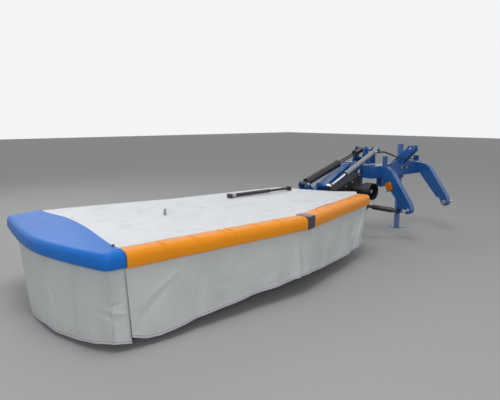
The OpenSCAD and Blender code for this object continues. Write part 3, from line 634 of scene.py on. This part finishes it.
def makeTopTarp(values):
    bm = bmesh.new()
    across, deep = values["steps"]
    bmesh.ops.create_grid(bm, x_segments=across, y_segments=deep, size=0.5)
    flat = []
    for vertex in bm.verts:
        s, t = vertex.co.x + 0.5, vertex.co.y + 0.5
        x = values["inner"] + s * (values["outer"] - values["inner"])
        rear, front = between(values["rearEdge"], x), between(values["frontEdge"], x)
        y = rear + (front - rear) * t
        x += s ** values["outerPull"] * (between(values["outerEdge"], y) - values["outer"])
        height = values["height"]
        rearFade, frontFade = values["edgeFade"]
        loose = smoothStep(0.0, rearFade, t) * smoothStep(0.0, frontFade, 1 - t)
        gap = min(abs(x - bar) for bar in values["bars"])
        height -= values["sag"] * smoothStep(*values["sagReach"], gap) * loose
        crown = values["crown"] * smoothStep(*values["crownRear"], y) * smoothStep(0.0, 0.06, t)
        height += crown * smoothStep(*values["crownOuter"], x) * smoothStep(*values["crownInner"], x)
        near = min(abs(x - place) for place in values["knuckles"])
        knuckleWide, knuckleDeep = values["knuckleSize"]
        offLine = (y - values["knuckleLine"]) / knuckleDeep
        height += values["knuckleRise"] * math.exp(-(near / knuckleWide) ** 2 - offLine ** 2)
        for x0, y0, x1, y1, width, rise in values["ridges"]:
            height += rise * math.exp(-(fromLine(x, y, x0, y0, x1, y1) / width) ** 2) * loose
        ripple = 0.0
        for part, first, second, seed in values["wrinkles"]:
            spot = Vector((x * first[0] + y * first[1], x * second[0] + y * second[1], seed))
            ripple += part * noise.noise(spot)
        height += values["wrinkle"] * ripple * smoothStep(0.0, 0.05, t)
        if min(t, 1 - t) * (front - rear) < values["hem"]:
            height += values["hemProud"]
        vertex.co = cover(x, y, height)
        flat.append((x, y - rear))
    piece = finishPiece("topTarp", bm, "tarp_white", None, ("top_tarp", "front_tarp"))
    writeUv(piece, flat)
    addModifier(piece, "SOLIDIFY", thickness=clothThick, offset=0.0)
    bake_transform(piece)


makeTopTarp(topTarp)
print("top tarp laid")

# The end cap's outline seen from above, from the bumper round to its inner rear corner.
capOutline = [(2.606, 0.004), (2.650, 0.006), (2.690, 0.006), (2.716, -0.002), (2.733, -0.020),
              (2.746, -0.050), (2.760, -0.092), (2.790, -0.180), (2.835, -0.330), (2.866, -0.460),
              (2.890, -0.590), (2.900, -0.700), (2.899, -0.830), (2.892, -0.960), (2.883, -1.060),
              (2.870, -1.180), (2.852, -1.330), (2.841, -1.420), (2.837, -1.452), (2.832, -1.466),
              (2.818, -1.476), (2.790, -1.486), (2.706, -1.513), (2.600, -1.546)]


def coverLine(corners):
    return [cover(x, y, 0.0) for x, y in corners]


capLine = coverLine(capOutline)
pocketDepth = 0.0400  # from the cap's face to the end skirt behind it
pocketLine = insetLine(capLine, pocketDepth)[1:17]  # to just before the rear outer corner

# Hanging sheets. Each runs along a line seen from above. Its hem is (share of the line, height)
# pairs. pleats: share of the line, height, half width, lean. tucks: metres along the line, height
# above the ground, half length, half width, height, angle. slip: the hem's move along the line, in
# metres, which grows from the first share to the last. edge: a strip that stands proud at its start.
sheetForm = {
    "hem": 0.016,
    "hemRows": 6,
    "proud": 0.0016,
    "flare": 0.3,  # outward at the hem, as a share of folds
    "endCalm": 0.3,
    "endReach": 0.03,
}

# Front skirt: hangs from under the bumper in shallow upright folds, slack near its inner end.
frontSkirt = {
    "line": coverLine([(-0.023, -0.363), (1.155, -0.0243), (1.182, -0.0225), (2.602, -0.0235)]),
    "top": 0.488,
    "hem": [(0.0, 0.128), (0.03, 0.119), (0.08, 0.120), (0.20, 0.118), (0.30, 0.118), (0.35, 0.126),
            (0.40, 0.135), (0.45, 0.146), (0.48, 0.147), (0.51, 0.144), (0.55, 0.128), (0.60, 0.120),
            (0.656, 0.116), (0.72, 0.098), (0.78, 0.087), (0.826, 0.075),
            (0.87, 0.059), (0.90, 0.051), (0.927, 0.045), (0.958, 0.050), (0.983, 0.068), (1.0, 0.080)],
    "folds": 0.011,
    "pleats": [(0.020, 0.012, 0.020, 0.3), (0.045, -0.012, 0.018, 0.3), (0.070, 0.014, 0.020, 0.25),
               (0.20, 0.008, 0.05, -0.2), (0.495, 0.011, 0.028, 0.05), (0.62, 0.007, 0.060, -0.3),
               (0.80, -0.006, 0.05, 0.2)],
    "tucks": [(0.15, 0.26, 0.130, 0.013, 0.016, -1.10), (0.23, 0.23, 0.130, 0.013, -0.014, -1.15),
              (0.09, 0.22, 0.100, 0.011, -0.012, -1.25), (0.33, 0.27, 0.130, 0.018, 0.011, -1.00),
              (1.33, 0.20, 0.060, 0.012, 0.006, -1.40), (2.42, 0.36, 0.150, 0.022, 0.005, -0.55),
              (2.52, 0.24, 0.160, 0.026, -0.004, -0.75)],
    "slip": [(0.96, 1.0, -0.024), (0.14, 0.0, 0.125)],
    "edge": 0.0,
    "steps": (420, 60),
    "seed": 1.7,
    "flat": (2.68, 0.44),
    "area": 1.02,
    "from": "bumper_outer",
}

# End skirt: follows the cap round the outer end, in its pocket.
endSkirt = {
    "line": roundedLine(coverLine([(2.599, -0.0375)]) + pocketLine),
    "top": 0.578,
    "hem": [(0.0, 0.040), (0.02, 0.046), (0.06, 0.056), (0.10, 0.051), (0.15, 0.046), (0.20, 0.042),
            (0.25, 0.034), (0.35, 0.028), (0.40, 0.028), (0.50, 0.037), (0.55, 0.030), (0.62, 0.016),
            (0.70, 0.012), (0.75, 0.090), (0.80, 0.240), (0.85, 0.360), (0.90, 0.430), (1.0, 0.460)],
    "slip": [(0.10, 0.0, -0.024)],
    "edge": 0.034,
    "folds": 0.0055,
    "pleats": [(0.085, -0.034, 0.078, 0.0), (0.30, 0.006, 0.06, 0.3), (0.52, -0.005, 0.05, 0.2)],
    "tucks": [(0.09, 0.240, 0.080, 0.009, 0.009, 0.22), (0.12, 0.205, 0.065, 0.009, -0.008, 0.30),
              (0.08, 0.278, 0.070, 0.011, -0.007, -0.25), (0.62, 0.22, 0.120, 0.018, 0.006, 1.1),
              (1.05, 0.20, 0.140, 0.022, 0.006, 1.3)],
    "steps": (300, 60),
    "seed": 6.3,
    "flat": (1.42, 0.57),
    "area": 0.66,
    "from": "end_cap",
}

# Rear skirt: a shorter curtain along the rear edge.
rearSkirt = {
    "line": coverLine([(2.488, -1.550), (2.270, -1.518), (1.950, -1.458), (1.500, -1.368),
                       (0.980, -1.338), (0.620, -1.318), (0.332, -1.268)]),
    "top": 0.572,
    "hem": [(0.0, 0.335), (0.3, 0.332), (0.7, 0.330), (1.0, 0.334)],
    "folds": 0.008,
    "pleats": [(0.2, 0.006, 0.04, 0.1), (0.55, -0.006, 0.05, 0.2), (0.85, 0.006, 0.03, 0.0)],
    "tucks": [],
    "slip": [],
    "edge": 0.0,
    "steps": (320, 34),
    "seed": 12.1,
    "flat": (2.22, 0.25),
    "area": 0.53,
    "from": "cover_frame",
}


def rowShare(k, rows, high):
    # share of the height at row k: the rows lie close together inside the hem
    upper = rows - sheetForm["hemRows"]
    hemShare = sheetForm["hem"] / high
    if k <= upper:
        return k / upper * (1 - hemShare)
    return 1 - hemShare * (rows - k) / sheetForm["hemRows"]


def makeHangingSheet(name, values, body, node):
    line = values["line"]
    seed = values["seed"]
    long = lineLength(line)
    across, rows = values["steps"]
    columns = [alongLine(line, i / across) for i in range(across + 1)]
    bm = bmesh.new()
    bmesh.ops.create_grid(bm, x_segments=across, y_segments=rows, size=0.5)
    flat = []
    for vertex in bm.verts:
        column = round((vertex.co.x + 0.5) * across)
        s = column / across
        place, inward = columns[column]
        low = between(values["hem"], s)
        high = values["top"] - low
        t = rowShare(round((0.5 - vertex.co.y) * rows), rows, high)
        far = s * long
        # waves per metre along the sheet, and per height down it
        swell = noise.noise(Vector((far * 2.1 + seed, t * 0.7, seed)))
        folds = noise.noise(Vector((far * 6.0 - t * 0.9, t * 0.6, seed + 4.0))) * 0.7
        fine = noise.noise(Vector((far * 17.0 + t * 3.0, t * 2.6, seed + 9.0))) * 0.20
        creases = noise.noise(Vector((far * 5.0 + t * 2.5, t * 9.0 - far * 3.0, seed + 2.0))) * 0.16
        depth = values["folds"] * (swell + folds + fine + creases) * t ** 0.8
        for centre, height, width, lean in values["pleats"]:
            off = (far - centre * long - lean * t * high) / width
            depth += height * math.exp(-off * off) * smoothStep(0.0, 0.5, t)
        for centre, middle, reach, width, height, lean in values["tucks"]:
            right, rise = far - centre, (1 - t) * high + low - middle
            along = right * math.cos(lean) + rise * math.sin(lean)
            off = rise * math.cos(lean) - right * math.sin(lean)
            depth += height * math.exp(-(along / reach) ** 2 - (off / width) ** 2)
        depth += values["folds"] * sheetForm["flare"] * t
        calm = sheetForm["endCalm"]
        depth *= calm + (1 - calm) * smoothStep(0.0, sheetForm["endReach"], min(s, 1 - s))
        if (1 - t) * high < sheetForm["hem"]:
            depth += sheetForm["proud"]
        if far < values["edge"]:
            depth += sheetForm["proud"]
        point = place - inward * depth
        for first, last, reach in values["slip"]:
            point += Vector((-inward.y, inward.x, 0.0)) * reach * t * smoothStep(first, last, s)
        vertex.co = Vector((point.x, point.y, values["top"] - high * t))
        flat.append((far, (1 - t) * high))
    piece = finishPiece(name, bm, "skirt_grey", body, (node,))
    writeUv(piece, flat)
    addModifier(piece, "SOLIDIFY", thickness=clothThick, offset=0.0)


makeHangingSheet("frontSkirt", frontSkirt, "front_guard", "front_skirt")
makeHangingSheet("endSkirt", endSkirt, "head", "end_skirt")
makeHangingSheet("rearSkirt", rearSkirt, "head", "rear_skirt")
print("skirts hung")

# End cap: moulded shell over the outer end, its rim rounded and its top gently crowned.
endCap = {
    "inner": [(2.608, -0.050), (2.606, -0.200), (2.585, -0.370), (2.540, -0.735), (2.530, -1.100),
              (2.572, -1.390), (2.576, -1.500)],
    # distance in from the outline, and height, from under the rim to the top
    "section": [(0.036, 0.497), (0.016, 0.495), (0.005, 0.498), (0.000, 0.507), (0.000, 0.530),
                (0.001, 0.552), (0.004, 0.567), (0.010, 0.577), (0.019, 0.585), (0.030, 0.589),
                (0.046, 0.590)],
    "crown": 0.004,
    "ease": 0.018,  # share of the outline over which its direction is averaged
    "lip": 0.036,
    "lipRows": 3,
    "steps": 150,
    "across": 12,
    "wall": 0.0035,
}


def makeEndCap(values):
    outer = roundedLine(capLine)
    inner = roundedLine(coverLine(values["inner"]))
    section = values["section"]
    topRows, lipRows = values["across"], values["lipRows"]
    rows = len(section) + topRows + lipRows
    columns = values["steps"]
    bm = bmesh.new()
    bmesh.ops.create_grid(bm, x_segments=columns, y_segments=rows - 1, size=0.5)
    for vertex in bm.verts:
        s = round((vertex.co.x + 0.5) * columns) / columns
        k = round((vertex.co.y + 0.5) * (rows - 1))
        place, inward = alongLine(outer, s)
        for near in (max(0.0, s - values["ease"]), min(1.0, s + values["ease"])):
            inward = inward + alongLine(outer, near)[1]
        inward = inward.normalized()
        if k < len(section):
            inset, z = section[k]
            point = place + inward * inset
            vertex.co = Vector((point.x, point.y, z))
            continue
        rim = place + inward * section[-1][0]
        part = min(1.0, (k - len(section) + 1) / topRows)
        point = rim.lerp(alongLine(inner, s)[0], part)
        drop = max(0, k - len(section) - topRows + 1) / lipRows * values["lip"]
        z = section[-1][1] + values["crown"] * math.sin(math.pi * part) - drop
        vertex.co = Vector((point.x, point.y, z))
    bmesh.ops.remove_doubles(bm, verts=bm.verts, dist=0.0002)
    bmesh.ops.recalc_face_normals(bm, faces=bm.faces)
    piece = finishPiece("endCap", bm, "blue_cap", "head", ("end_cap",), mouldedSharp)
    addModifier(piece, "SOLIDIFY", thickness=values["wall"], offset=-1.0)


makeEndCap(endCap)
print("end cap shaped")

# Bumpers: moulded channels with raised ribs, from the clip to each end. The outer one runs along X.
# The inner one slants back from the kink: along and back are where it ends.
innerEnd = {"along": 1.195, "back": 0.340}
slant = math.atan2(innerEnd["back"], innerEnd["along"])
slantLong = innerEnd["along"] / math.cos(slant)
bumperForm = {
    # distance behind the front face, and height, from under the front to the rear
    "section": [(0.034, 0.4905), (0.007, 0.4905), (0.002, 0.492), (0.000, 0.497), (0.000, 0.535),
                (0.001, 0.549), (0.004, 0.561), (0.010, 0.571), (0.018, 0.578), (0.029, 0.5815),
                (0.060, 0.5825), (0.108, 0.582), (0.118, 0.580), (0.1235, 0.574), (0.125, 0.560)],
    "kink": 1.165,
    "waviness": 0.0012,
    "outerRun": (1.1812, 2.600),
    "outerRibs": (2.360, 2.140, 1.917, 1.855, 1.635, 1.430),
    "outerLean": 0.0,
    "innerRun": (0.088, slantLong),
    "innerRibs": (0.207, 0.398, 0.571, 0.757, 0.947, 1.110),
    "innerLean": 0.108,  # how far a rib's rear end lies further along than its front end
    # a rib's middle, behind the front face and up, and its radius there
    "ribRun": [(0.000, 0.515, 0.0008), (0.000, 0.535, 0.0020), (0.001, 0.549, 0.0026),
               (0.004, 0.561, 0.0036), (0.010, 0.571, 0.0048), (0.018, 0.578, 0.0060),
               (0.029, 0.5815, 0.0068), (0.060, 0.5820, 0.0070), (0.100, 0.5815, 0.0066),
               (0.121, 0.577, 0.0045)],
    "steps": 90,
}


def innerPoint(distance, back, z):
    x = bumperForm["kink"] - distance * math.cos(slant) + back * math.sin(slant)
    return cover(x, -distance * math.sin(slant) - back * math.cos(slant), z)


def outerPoint(distance, back, z):
    return cover(distance, -back, z)


def makeBumper(name, node, at, side):
    section = bumperForm["section"]
    first, last = bumperForm[side + "Run"]
    columns = bumperForm["steps"]
    bm = bmesh.new()
    bmesh.ops.create_grid(bm, x_segments=columns, y_segments=len(section) - 1, size=0.5)
    ends = ([], [])
    for vertex in bm.verts:
        s = round((vertex.co.x + 0.5) * columns) / columns
        back, z = section[round((vertex.co.y + 0.5) * (len(section) - 1))]
        if s in (0.0, 1.0):
            ends[int(s)].append((back, z, vertex))
        wave = noise.noise(Vector((first + (last - first) * s * 3.0, z * 4.0, back * 9.0)))
        vertex.co = at(first + (last - first) * s, back + bumperForm["waviness"] * wave, z)
    order = {point: i for i, point in enumerate(section)}
    for end in ends:
        ring = [v for _, _, v in sorted(end, key=lambda item: order[(item[0], item[1])])]
        bm.faces.new(ring)
    bmesh.ops.recalc_face_normals(bm, faces=bm.faces)
    ribRun = bumperForm["ribRun"]
    lean = bumperForm[side + "Lean"] / ribRun[-1][0]
    for rib in bumperForm[side + "Ribs"]:
        points = [at(rib + lean * back, back, z) for back, z, _ in ribRun]
        tubeAlong(bm, points, [radius for _, _, radius in ribRun], 12)
    finishPiece(name, bm, "orange_bumper", "front_guard", (node,), mouldedSharp)


makeBumper("bumperOuter", "bumper_outer", outerPoint, "outer")
makeBumper("bumperInner", "bumper_inner", innerPoint, "inner")
print("bumpers shaped")

# Rigid nodes keep their shape and get rounded edges, each by its own width in metres.
roundings = {
    "hitch_frame": 0.0030, "hitch_pins": 0.0020, "top_link_pin": 0.0020, "stand_leg": 0.0040,
    "turret": 0.0025, "apex_bracket": 0.0020, "stay_tube": 0.0015, "stay_rod": 0.0020, "swing_arm": 0.0035,
    "belt_guard": 0.0120, "input_guard": 0.0040, "pto_stub": 0.0008, "cylinder_barrel": 0.0025,
    "cylinder_rod": 0.0020, "spring_tube": 0.0025, "spring_rods": 0.0020, "head_bracket": 0.0025,
    "carrier_beam": 0.0050, "gearbox": 0.0060, "cutterbar": 0.0035, "skid_shoes": 0.0015,
    "cover_frame": 0.0030, "tie_bar": 0.0020, "tie_brackets": 0.0015, "tarp_hook": 0.0010,
    "guard_frame": 0.0025,
}
discCount = 6
roundings.update({"disc_%d" % index: 0.0012 for index in range(1, discCount + 1)})
roundings["bumper_clip"] = 0.0045
ownFinish = {"bumper_clip": navyClip}
for nodeName, width in roundings.items():
    soften(nodeName, width, ownFinish.get(nodeName))
print("rigid nodes rounded:", len(roundings))

# Bolts, by body. Each entry: place, axis, size across flats.
up = Vector((0, 0, 1))
ahead, behind = Vector((0, 1, 0)), Vector((0, -1, 0))
outboard = Vector((1, 0, 0))
boltPlaces = {
    "arm": [
        ((-0.020, -0.952, 0.609), ahead, 0.030), ((0.160, -0.948, 0.636), ahead, 0.022),
        ((0.160, -1.072, 0.636), behind, 0.022), ((-0.245, -0.860, 0.600), ahead, 0.017),
        ((-0.300, -0.760, 0.640), ahead, 0.013), ((-0.205, -0.760, 0.600), ahead, 0.013),
        ((-0.030, -0.760, 0.560), ahead, 0.013), ((0.040, -0.760, 0.390), ahead, 0.013),
        ((-0.160, -0.760, 0.440), ahead, 0.013), ((-0.330, -0.760, 0.452), ahead, 0.013),
        ((-0.436, -0.760, 0.560), ahead, 0.013), ((-0.425, -0.760, 0.700), ahead, 0.013),
    ],
    "swing_turret": [
        ((-0.510, -0.908, 0.754), ahead, 0.036), ((-0.510, -1.112, 0.754), behind, 0.036),
        ((-0.775, -1.088, 0.945), behind, 0.026), ((-0.600, -0.870, 0.802), up, 0.030),
        ((-0.660, -0.900, 0.812), up, 0.019), ((-0.660, -1.000, 0.812), up, 0.019),
    ],
    "headstock": [
        ((-0.660, -0.425, 0.338), outboard, 0.024), ((-0.782, -0.711, 0.868), ahead, 0.016),
        ((-1.190, -0.570, 0.825), outboard, 0.012), ((-1.060, -0.672, 0.745), ahead, 0.019),
        ((-1.160, -0.672, 0.745), ahead, 0.019),
    ],
    "head": [
        ((0.080, -0.919, 0.450), ahead, 0.036), ((0.080, -1.101, 0.450), behind, 0.036),
        ((0.190, -0.905, 0.116), up, 0.019), ((0.215, -0.935, 0.116), up, 0.019),
        ((0.290, -0.925, 0.420), ahead, 0.024),
        ((0.290, -0.925, 0.500), ahead, 0.024), ((0.380, -1.040, 0.581), up, 0.013),
        ((1.122, -1.040, 0.581), up, 0.013),
    ],
}
blackBolts = {
    "head": [((2.616, -0.136, 0.5920), up, 0.014)],
}


def makeBolts(name, places, body, finish):
    bm = bmesh.new()
    for place, axis, across in places:
        addBolt(bm, cover(*place), axis, across)
    finishPiece(name, bm, finish, body, sharp=steelSharp)


for body, places in boltPlaces.items():
    makeBolts(body.replace("_", "") + "Bolts", places, body, "zinc")
for body, places in blackBolts.items():
    makeBolts(body + "BlackBolts", places, body, "black_paint")

# Grease nipples stand where the pins are greased: a six-sided foot, a neck and a round head.
nippleForm = {
    "footTall": 0.006,
    "footRadius": 0.0055,
    "neckTall": 0.010,
    "neckRadius": 0.0030,
    "headAt": 0.017,
    "headRadius": 0.0036,
}
nipplePlaces = {
    "arm": [((0.080, -0.990, 0.504), up)],
    "swing_turret": [((-0.600, -0.830, 0.800), up), ((-0.775, -0.950, 0.962), up)],
    "lift_barrel": [((-0.790, -0.815, 0.970), up)],
    "head": [((0.095, -1.101, 0.492), behind)],
}


def makeNipples(places, body, form):
    bm = bmesh.new()
    for place, axis in places:
        spot = cover(*place)
        addBar(bm, spot, axis, form["footTall"], form["footRadius"], 6)
        addBar(bm, spot, axis, form["neckTall"], form["neckRadius"], 14, low=form["footTall"])
        bmesh.ops.create_uvsphere(bm, u_segments=14, v_segments=8, radius=form["headRadius"],
                                  matrix=Matrix.Translation(spot + axis * form["headAt"]))
    finishPiece(body.replace("_", "") + "Nipples", bm, "zinc", body, sharp=steelSharp)


for body, places in nipplePlaces.items():
    makeNipples(places, body, nippleForm)

# Reflector on the outer leg of the headstock, with its black frame.
reflector = {
    "place": (-0.6656, -0.558, 0.581),
    "half": (0.0016, 0.036, 0.044),
    "frame": 0.006,
    "frameSunk": 0.001,
    "frameRounding": 0.0008,
    "proud": 0.0015,
    "rounding": 0.0012,
    "lean": 24.0,
}


def makeReflector(values):
    rim = values["frame"]
    thick, wide, tall = values["half"]
    leaning = Matrix.Rotation(math.radians(values["lean"]), 4, "X")
    turned = Matrix.Translation(cover(*values["place"])) @ leaning
    bm = bmesh.new()
    addBlock(bm, (-thick, -wide - rim, -tall - rim), (thick - values["frameSunk"], wide + rim, tall + rim),
             values["frameRounding"], turned)
    finishPiece("reflectorFrame", bm, "black_plastic", "headstock", sharp=steelSharp)
    bm = bmesh.new()
    addBlock(bm, (-thick, -wide, -tall), (thick + values["proud"], wide, tall), values["rounding"], turned)
    piece = finishPiece("reflector", bm, amberReflector, "headstock", sharp=steelSharp)


makeReflector(reflector)

# Fittings of the disc drives: crowned hubs, their bolts and the knife bolts.
discDrive = {
    "pitch": 0.400,
    "first": 0.420,
    "back": -0.750,
    "hubTop": 0.163,
    "hubRadius": 0.034,
    "hubRise": 0.010,
    "hubChamfer": 0.003,
    "hubBolt": 0.030,
    "ringBolts": 4,
    "ringRadius": 0.078,
    "ringTop": 0.1495,
    "ringBolt": 0.013,
    "knifeRadius": 0.140,
    "knifeTop": 0.1435,
    "knifeBolt": 0.019,
}


def makeDiscFittings(index, values):
    centre = cover(values["first"] + (index - 1) * values["pitch"], values["back"], 0.0)
    spin = math.radians(90 * (index - 1))  # each disc stands crossed with its neighbour
    hub = centre + up * values["hubTop"]
    bm = bmesh.new()
    addBar(bm, hub, up, values["hubRise"], values["hubRadius"], 40, values["hubChamfer"])
    addBolt(bm, hub + up * values["hubRise"], up, values["hubBolt"])
    for k in range(values["ringBolts"]):
        turn = spin + 2 * math.pi * (k + 0.5) / values["ringBolts"]
        out = Vector((math.cos(turn), math.sin(turn), 0.0)) * values["ringRadius"]
        addBolt(bm, centre + out + up * values["ringTop"], up, values["ringBolt"])
    for side in (1, -1):
        knife = Matrix.Rotation(spin, 3, "Z") @ Vector((0, side * values["knifeRadius"], 0))
        addBolt(bm, centre + knife + up * values["knifeTop"], up, values["knifeBolt"])
    finishPiece("discFittings%d" % index, bm, "zinc", "rotor_%d" % index, sharp=steelSharp)


for index in range(1, discCount + 1):
    makeDiscFittings(index, discDrive)
print("small steel fitted")

# Round rings on the cylinder, the spring, the tarp's hook and the tie bar. The cylinder and the
# spring hang on one pin at the apex, each in its own row, and reaches count along them.
apex = Vector((-0.775, 0.0, 0.945))
cylinderEye = Vector((-0.020, 0.0, 0.615))
springEye = Vector((0.160, 0.0, 0.636))
cylinderRings = {
    "row": -0.815,
    "gland": 0.560,
    "glandSize": (0.006, 0.0235),  # length and radius, as the others
    "portRow": -0.764,
    "port": 0.045,
    "portDepth": 0.016,
    "portSize": (0.012, 0.0150),
}
springBands = {
    "row": -1.010,
    "reaches": (0.524, 0.300, 0.080),  # from the lower eye
    "inner": 0.0385,
    "outer": 0.0410,
    "width": 0.006,
}
hookWasher = {"sunk": 0.001, "size": (0.005, 0.024)}
tieBarClamps = {
    "row": -1.000,
    "height": 0.612,
    "radius": 0.0215,
    "clamps": ((1.062, 0.034), (1.102, 0.010)),  # place along X and length
}
ringSides = 48
ringChamfer = 0.18  # share of a ring's smaller size


def axisPoint(start, stop, y, reach):
    heading = (stop - start).normalized()
    spot = start + heading * reach
    return cover(spot.x, y, spot.z), heading


def makeRings(name, body, finish, places):
    bm = bmesh.new()
    for spot, heading, long, radius in places:
        addBar(bm, spot, heading, long, radius, ringSides, min(long, radius) * ringChamfer)
    finishPiece(name, bm, finish, body, sharp=steelSharp)


def makeCylinderRings(values):
    spot, way = axisPoint(apex, cylinderEye, values["row"], values["gland"])
    makeRings("glandRing", "lift_barrel", "black_paint", [(spot, way, *values["glandSize"])])
    spot, _ = axisPoint(apex, cylinderEye, values["portRow"], values["port"])
    spot -= ahead * values["portDepth"]
    makeRings("portNut", "lift_barrel", "zinc", [(spot, ahead, *values["portSize"])])


def makeSpringBands(values):
    # open bands round the spring's tube, because its rods slide through
    inner, outer, width = values["inner"], values["outer"], values["width"]
    springLong = (springEye - apex).length
    bm = bmesh.new()
    for reach in values["reaches"]:
        spot, way = axisPoint(apex, springEye, values["row"], springLong - reach)
        corners = ((inner, 0.0), (outer, 0.0), (outer, width), (inner, width))
        rings = [ringAt(bm, spot + way * step, way, radius, ringSides) for radius, step in corners]
        for first, second in zip(rings, rings[1:] + rings[:1]):
            bridgeRings(bm, first, second)
    bmesh.ops.recalc_face_normals(bm, faces=bm.faces)
    finishPiece("springBands", bm, "black_paint", "spring_case", sharp=steelSharp)


def makeHookWasher(values):
    low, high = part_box("tarp_hook")
    middle = (low + high) / 2
    foot = Vector((middle.x, middle.y, topTarp["height"] - values["sunk"]))
    makeRings("hookWasher", "head", "zinc", [(foot, up, *values["size"])])


def makeTieBarClamps(values):
    makeRings("tieBarClamps", "head", "zinc",
              [(cover(x, values["row"], values["height"]), outboard, long, values["radius"])
               for x, long in values["clamps"]])


makeCylinderRings(cylinderRings)
makeSpringBands(springBands)
makeHookWasher(hookWasher)
makeTieBarClamps(tieBarClamps)
print("rings fitted")

# Floor, backdrop and lamps. A lamp's place and target count from the cover's corner.
stageValues = {
    "floorSize": 60.0,
    "floorColour": (0.40, 0.40, 0.39),
    "floorRoughness": 0.9,
    "backdrop": (0.90, 0.91, 0.92),
    "worldColour": (0.93, 0.95, 1.0),
    "worldStrength": 0.47,
}
lamps = {
    "keyLamp": {"place": (2.8, 1.0, 6.4), "target": (1.4, -0.7, 0.4), "power": 150.0, "size": 3.0},
    "fillLamp": {"place": (5.2, 4.6, 2.6), "target": (1.9, -0.2, 0.3), "power": 60.0, "size": 1.6},
    "backLamp": {"place": (2.0, -5.5, 4.2), "target": (1.2, -0.6, 0.5), "power": 60.0, "size": 3.5},
}


def makeStage(values):
    bm = bmesh.new()
    bmesh.ops.create_grid(bm, x_segments=1, y_segments=1, size=values["floorSize"] / 2)
    floor = linkMesh("floor", bm)
    material, tree, shader = newMaterial("floorPale")
    shader.inputs["Base Color"].default_value = (*values["floorColour"], 1.0)
    shader.inputs["Roughness"].default_value = values["floorRoughness"]
    floor.data.materials.append(material)
    world = bpy.data.worlds.new("studio")
    world.use_nodes = True
    scene.world = world
    tree = world.node_tree
    soft = tree.nodes["Background"]
    soft.inputs["Color"].default_value = (*values["worldColour"], 1.0)
    soft.inputs["Strength"].default_value = values["worldStrength"]
    pale = addNode(tree, "ShaderNodeBackground")
    pale.inputs["Color"].default_value = (*values["backdrop"], 1.0)
    rays = addNode(tree, "ShaderNodeLightPath")
    seen = rays.outputs["Is Camera Ray"]
    for kind in ("Is Glossy Ray", "Is Transmission Ray"):
        either = addNode(tree, "ShaderNodeMath", operation="MAXIMUM")
        tree.links.new(seen, either.inputs[0])
        tree.links.new(rays.outputs[kind], either.inputs[1])
        seen = either.outputs["Value"]
    mix = addNode(tree, "ShaderNodeMixShader")
    tree.links.new(seen, mix.inputs["Fac"])
    tree.links.new(soft.outputs["Background"], mix.inputs[1])
    tree.links.new(pale.outputs["Background"], mix.inputs[2])
    tree.links.new(mix.outputs["Shader"], tree.nodes["World Output"].inputs["Surface"])


def addLamp(name, values):
    data = bpy.data.lights.new(name, "AREA")
    data.energy = values["power"]
    data.size = values["size"]
    lamp = bpy.data.objects.new(name, data)
    scene.collection.objects.link(lamp)
    lamp.location = cover(*values["place"])
    sight = cover(*values["target"]) - lamp.location
    lamp.rotation_euler = sight.to_track_quat("-Z", "Y").to_euler()


makeStage(stageValues)
for lampName, lampValues in lamps.items():
    addLamp(lampName, lampValues)
print("stage lit")
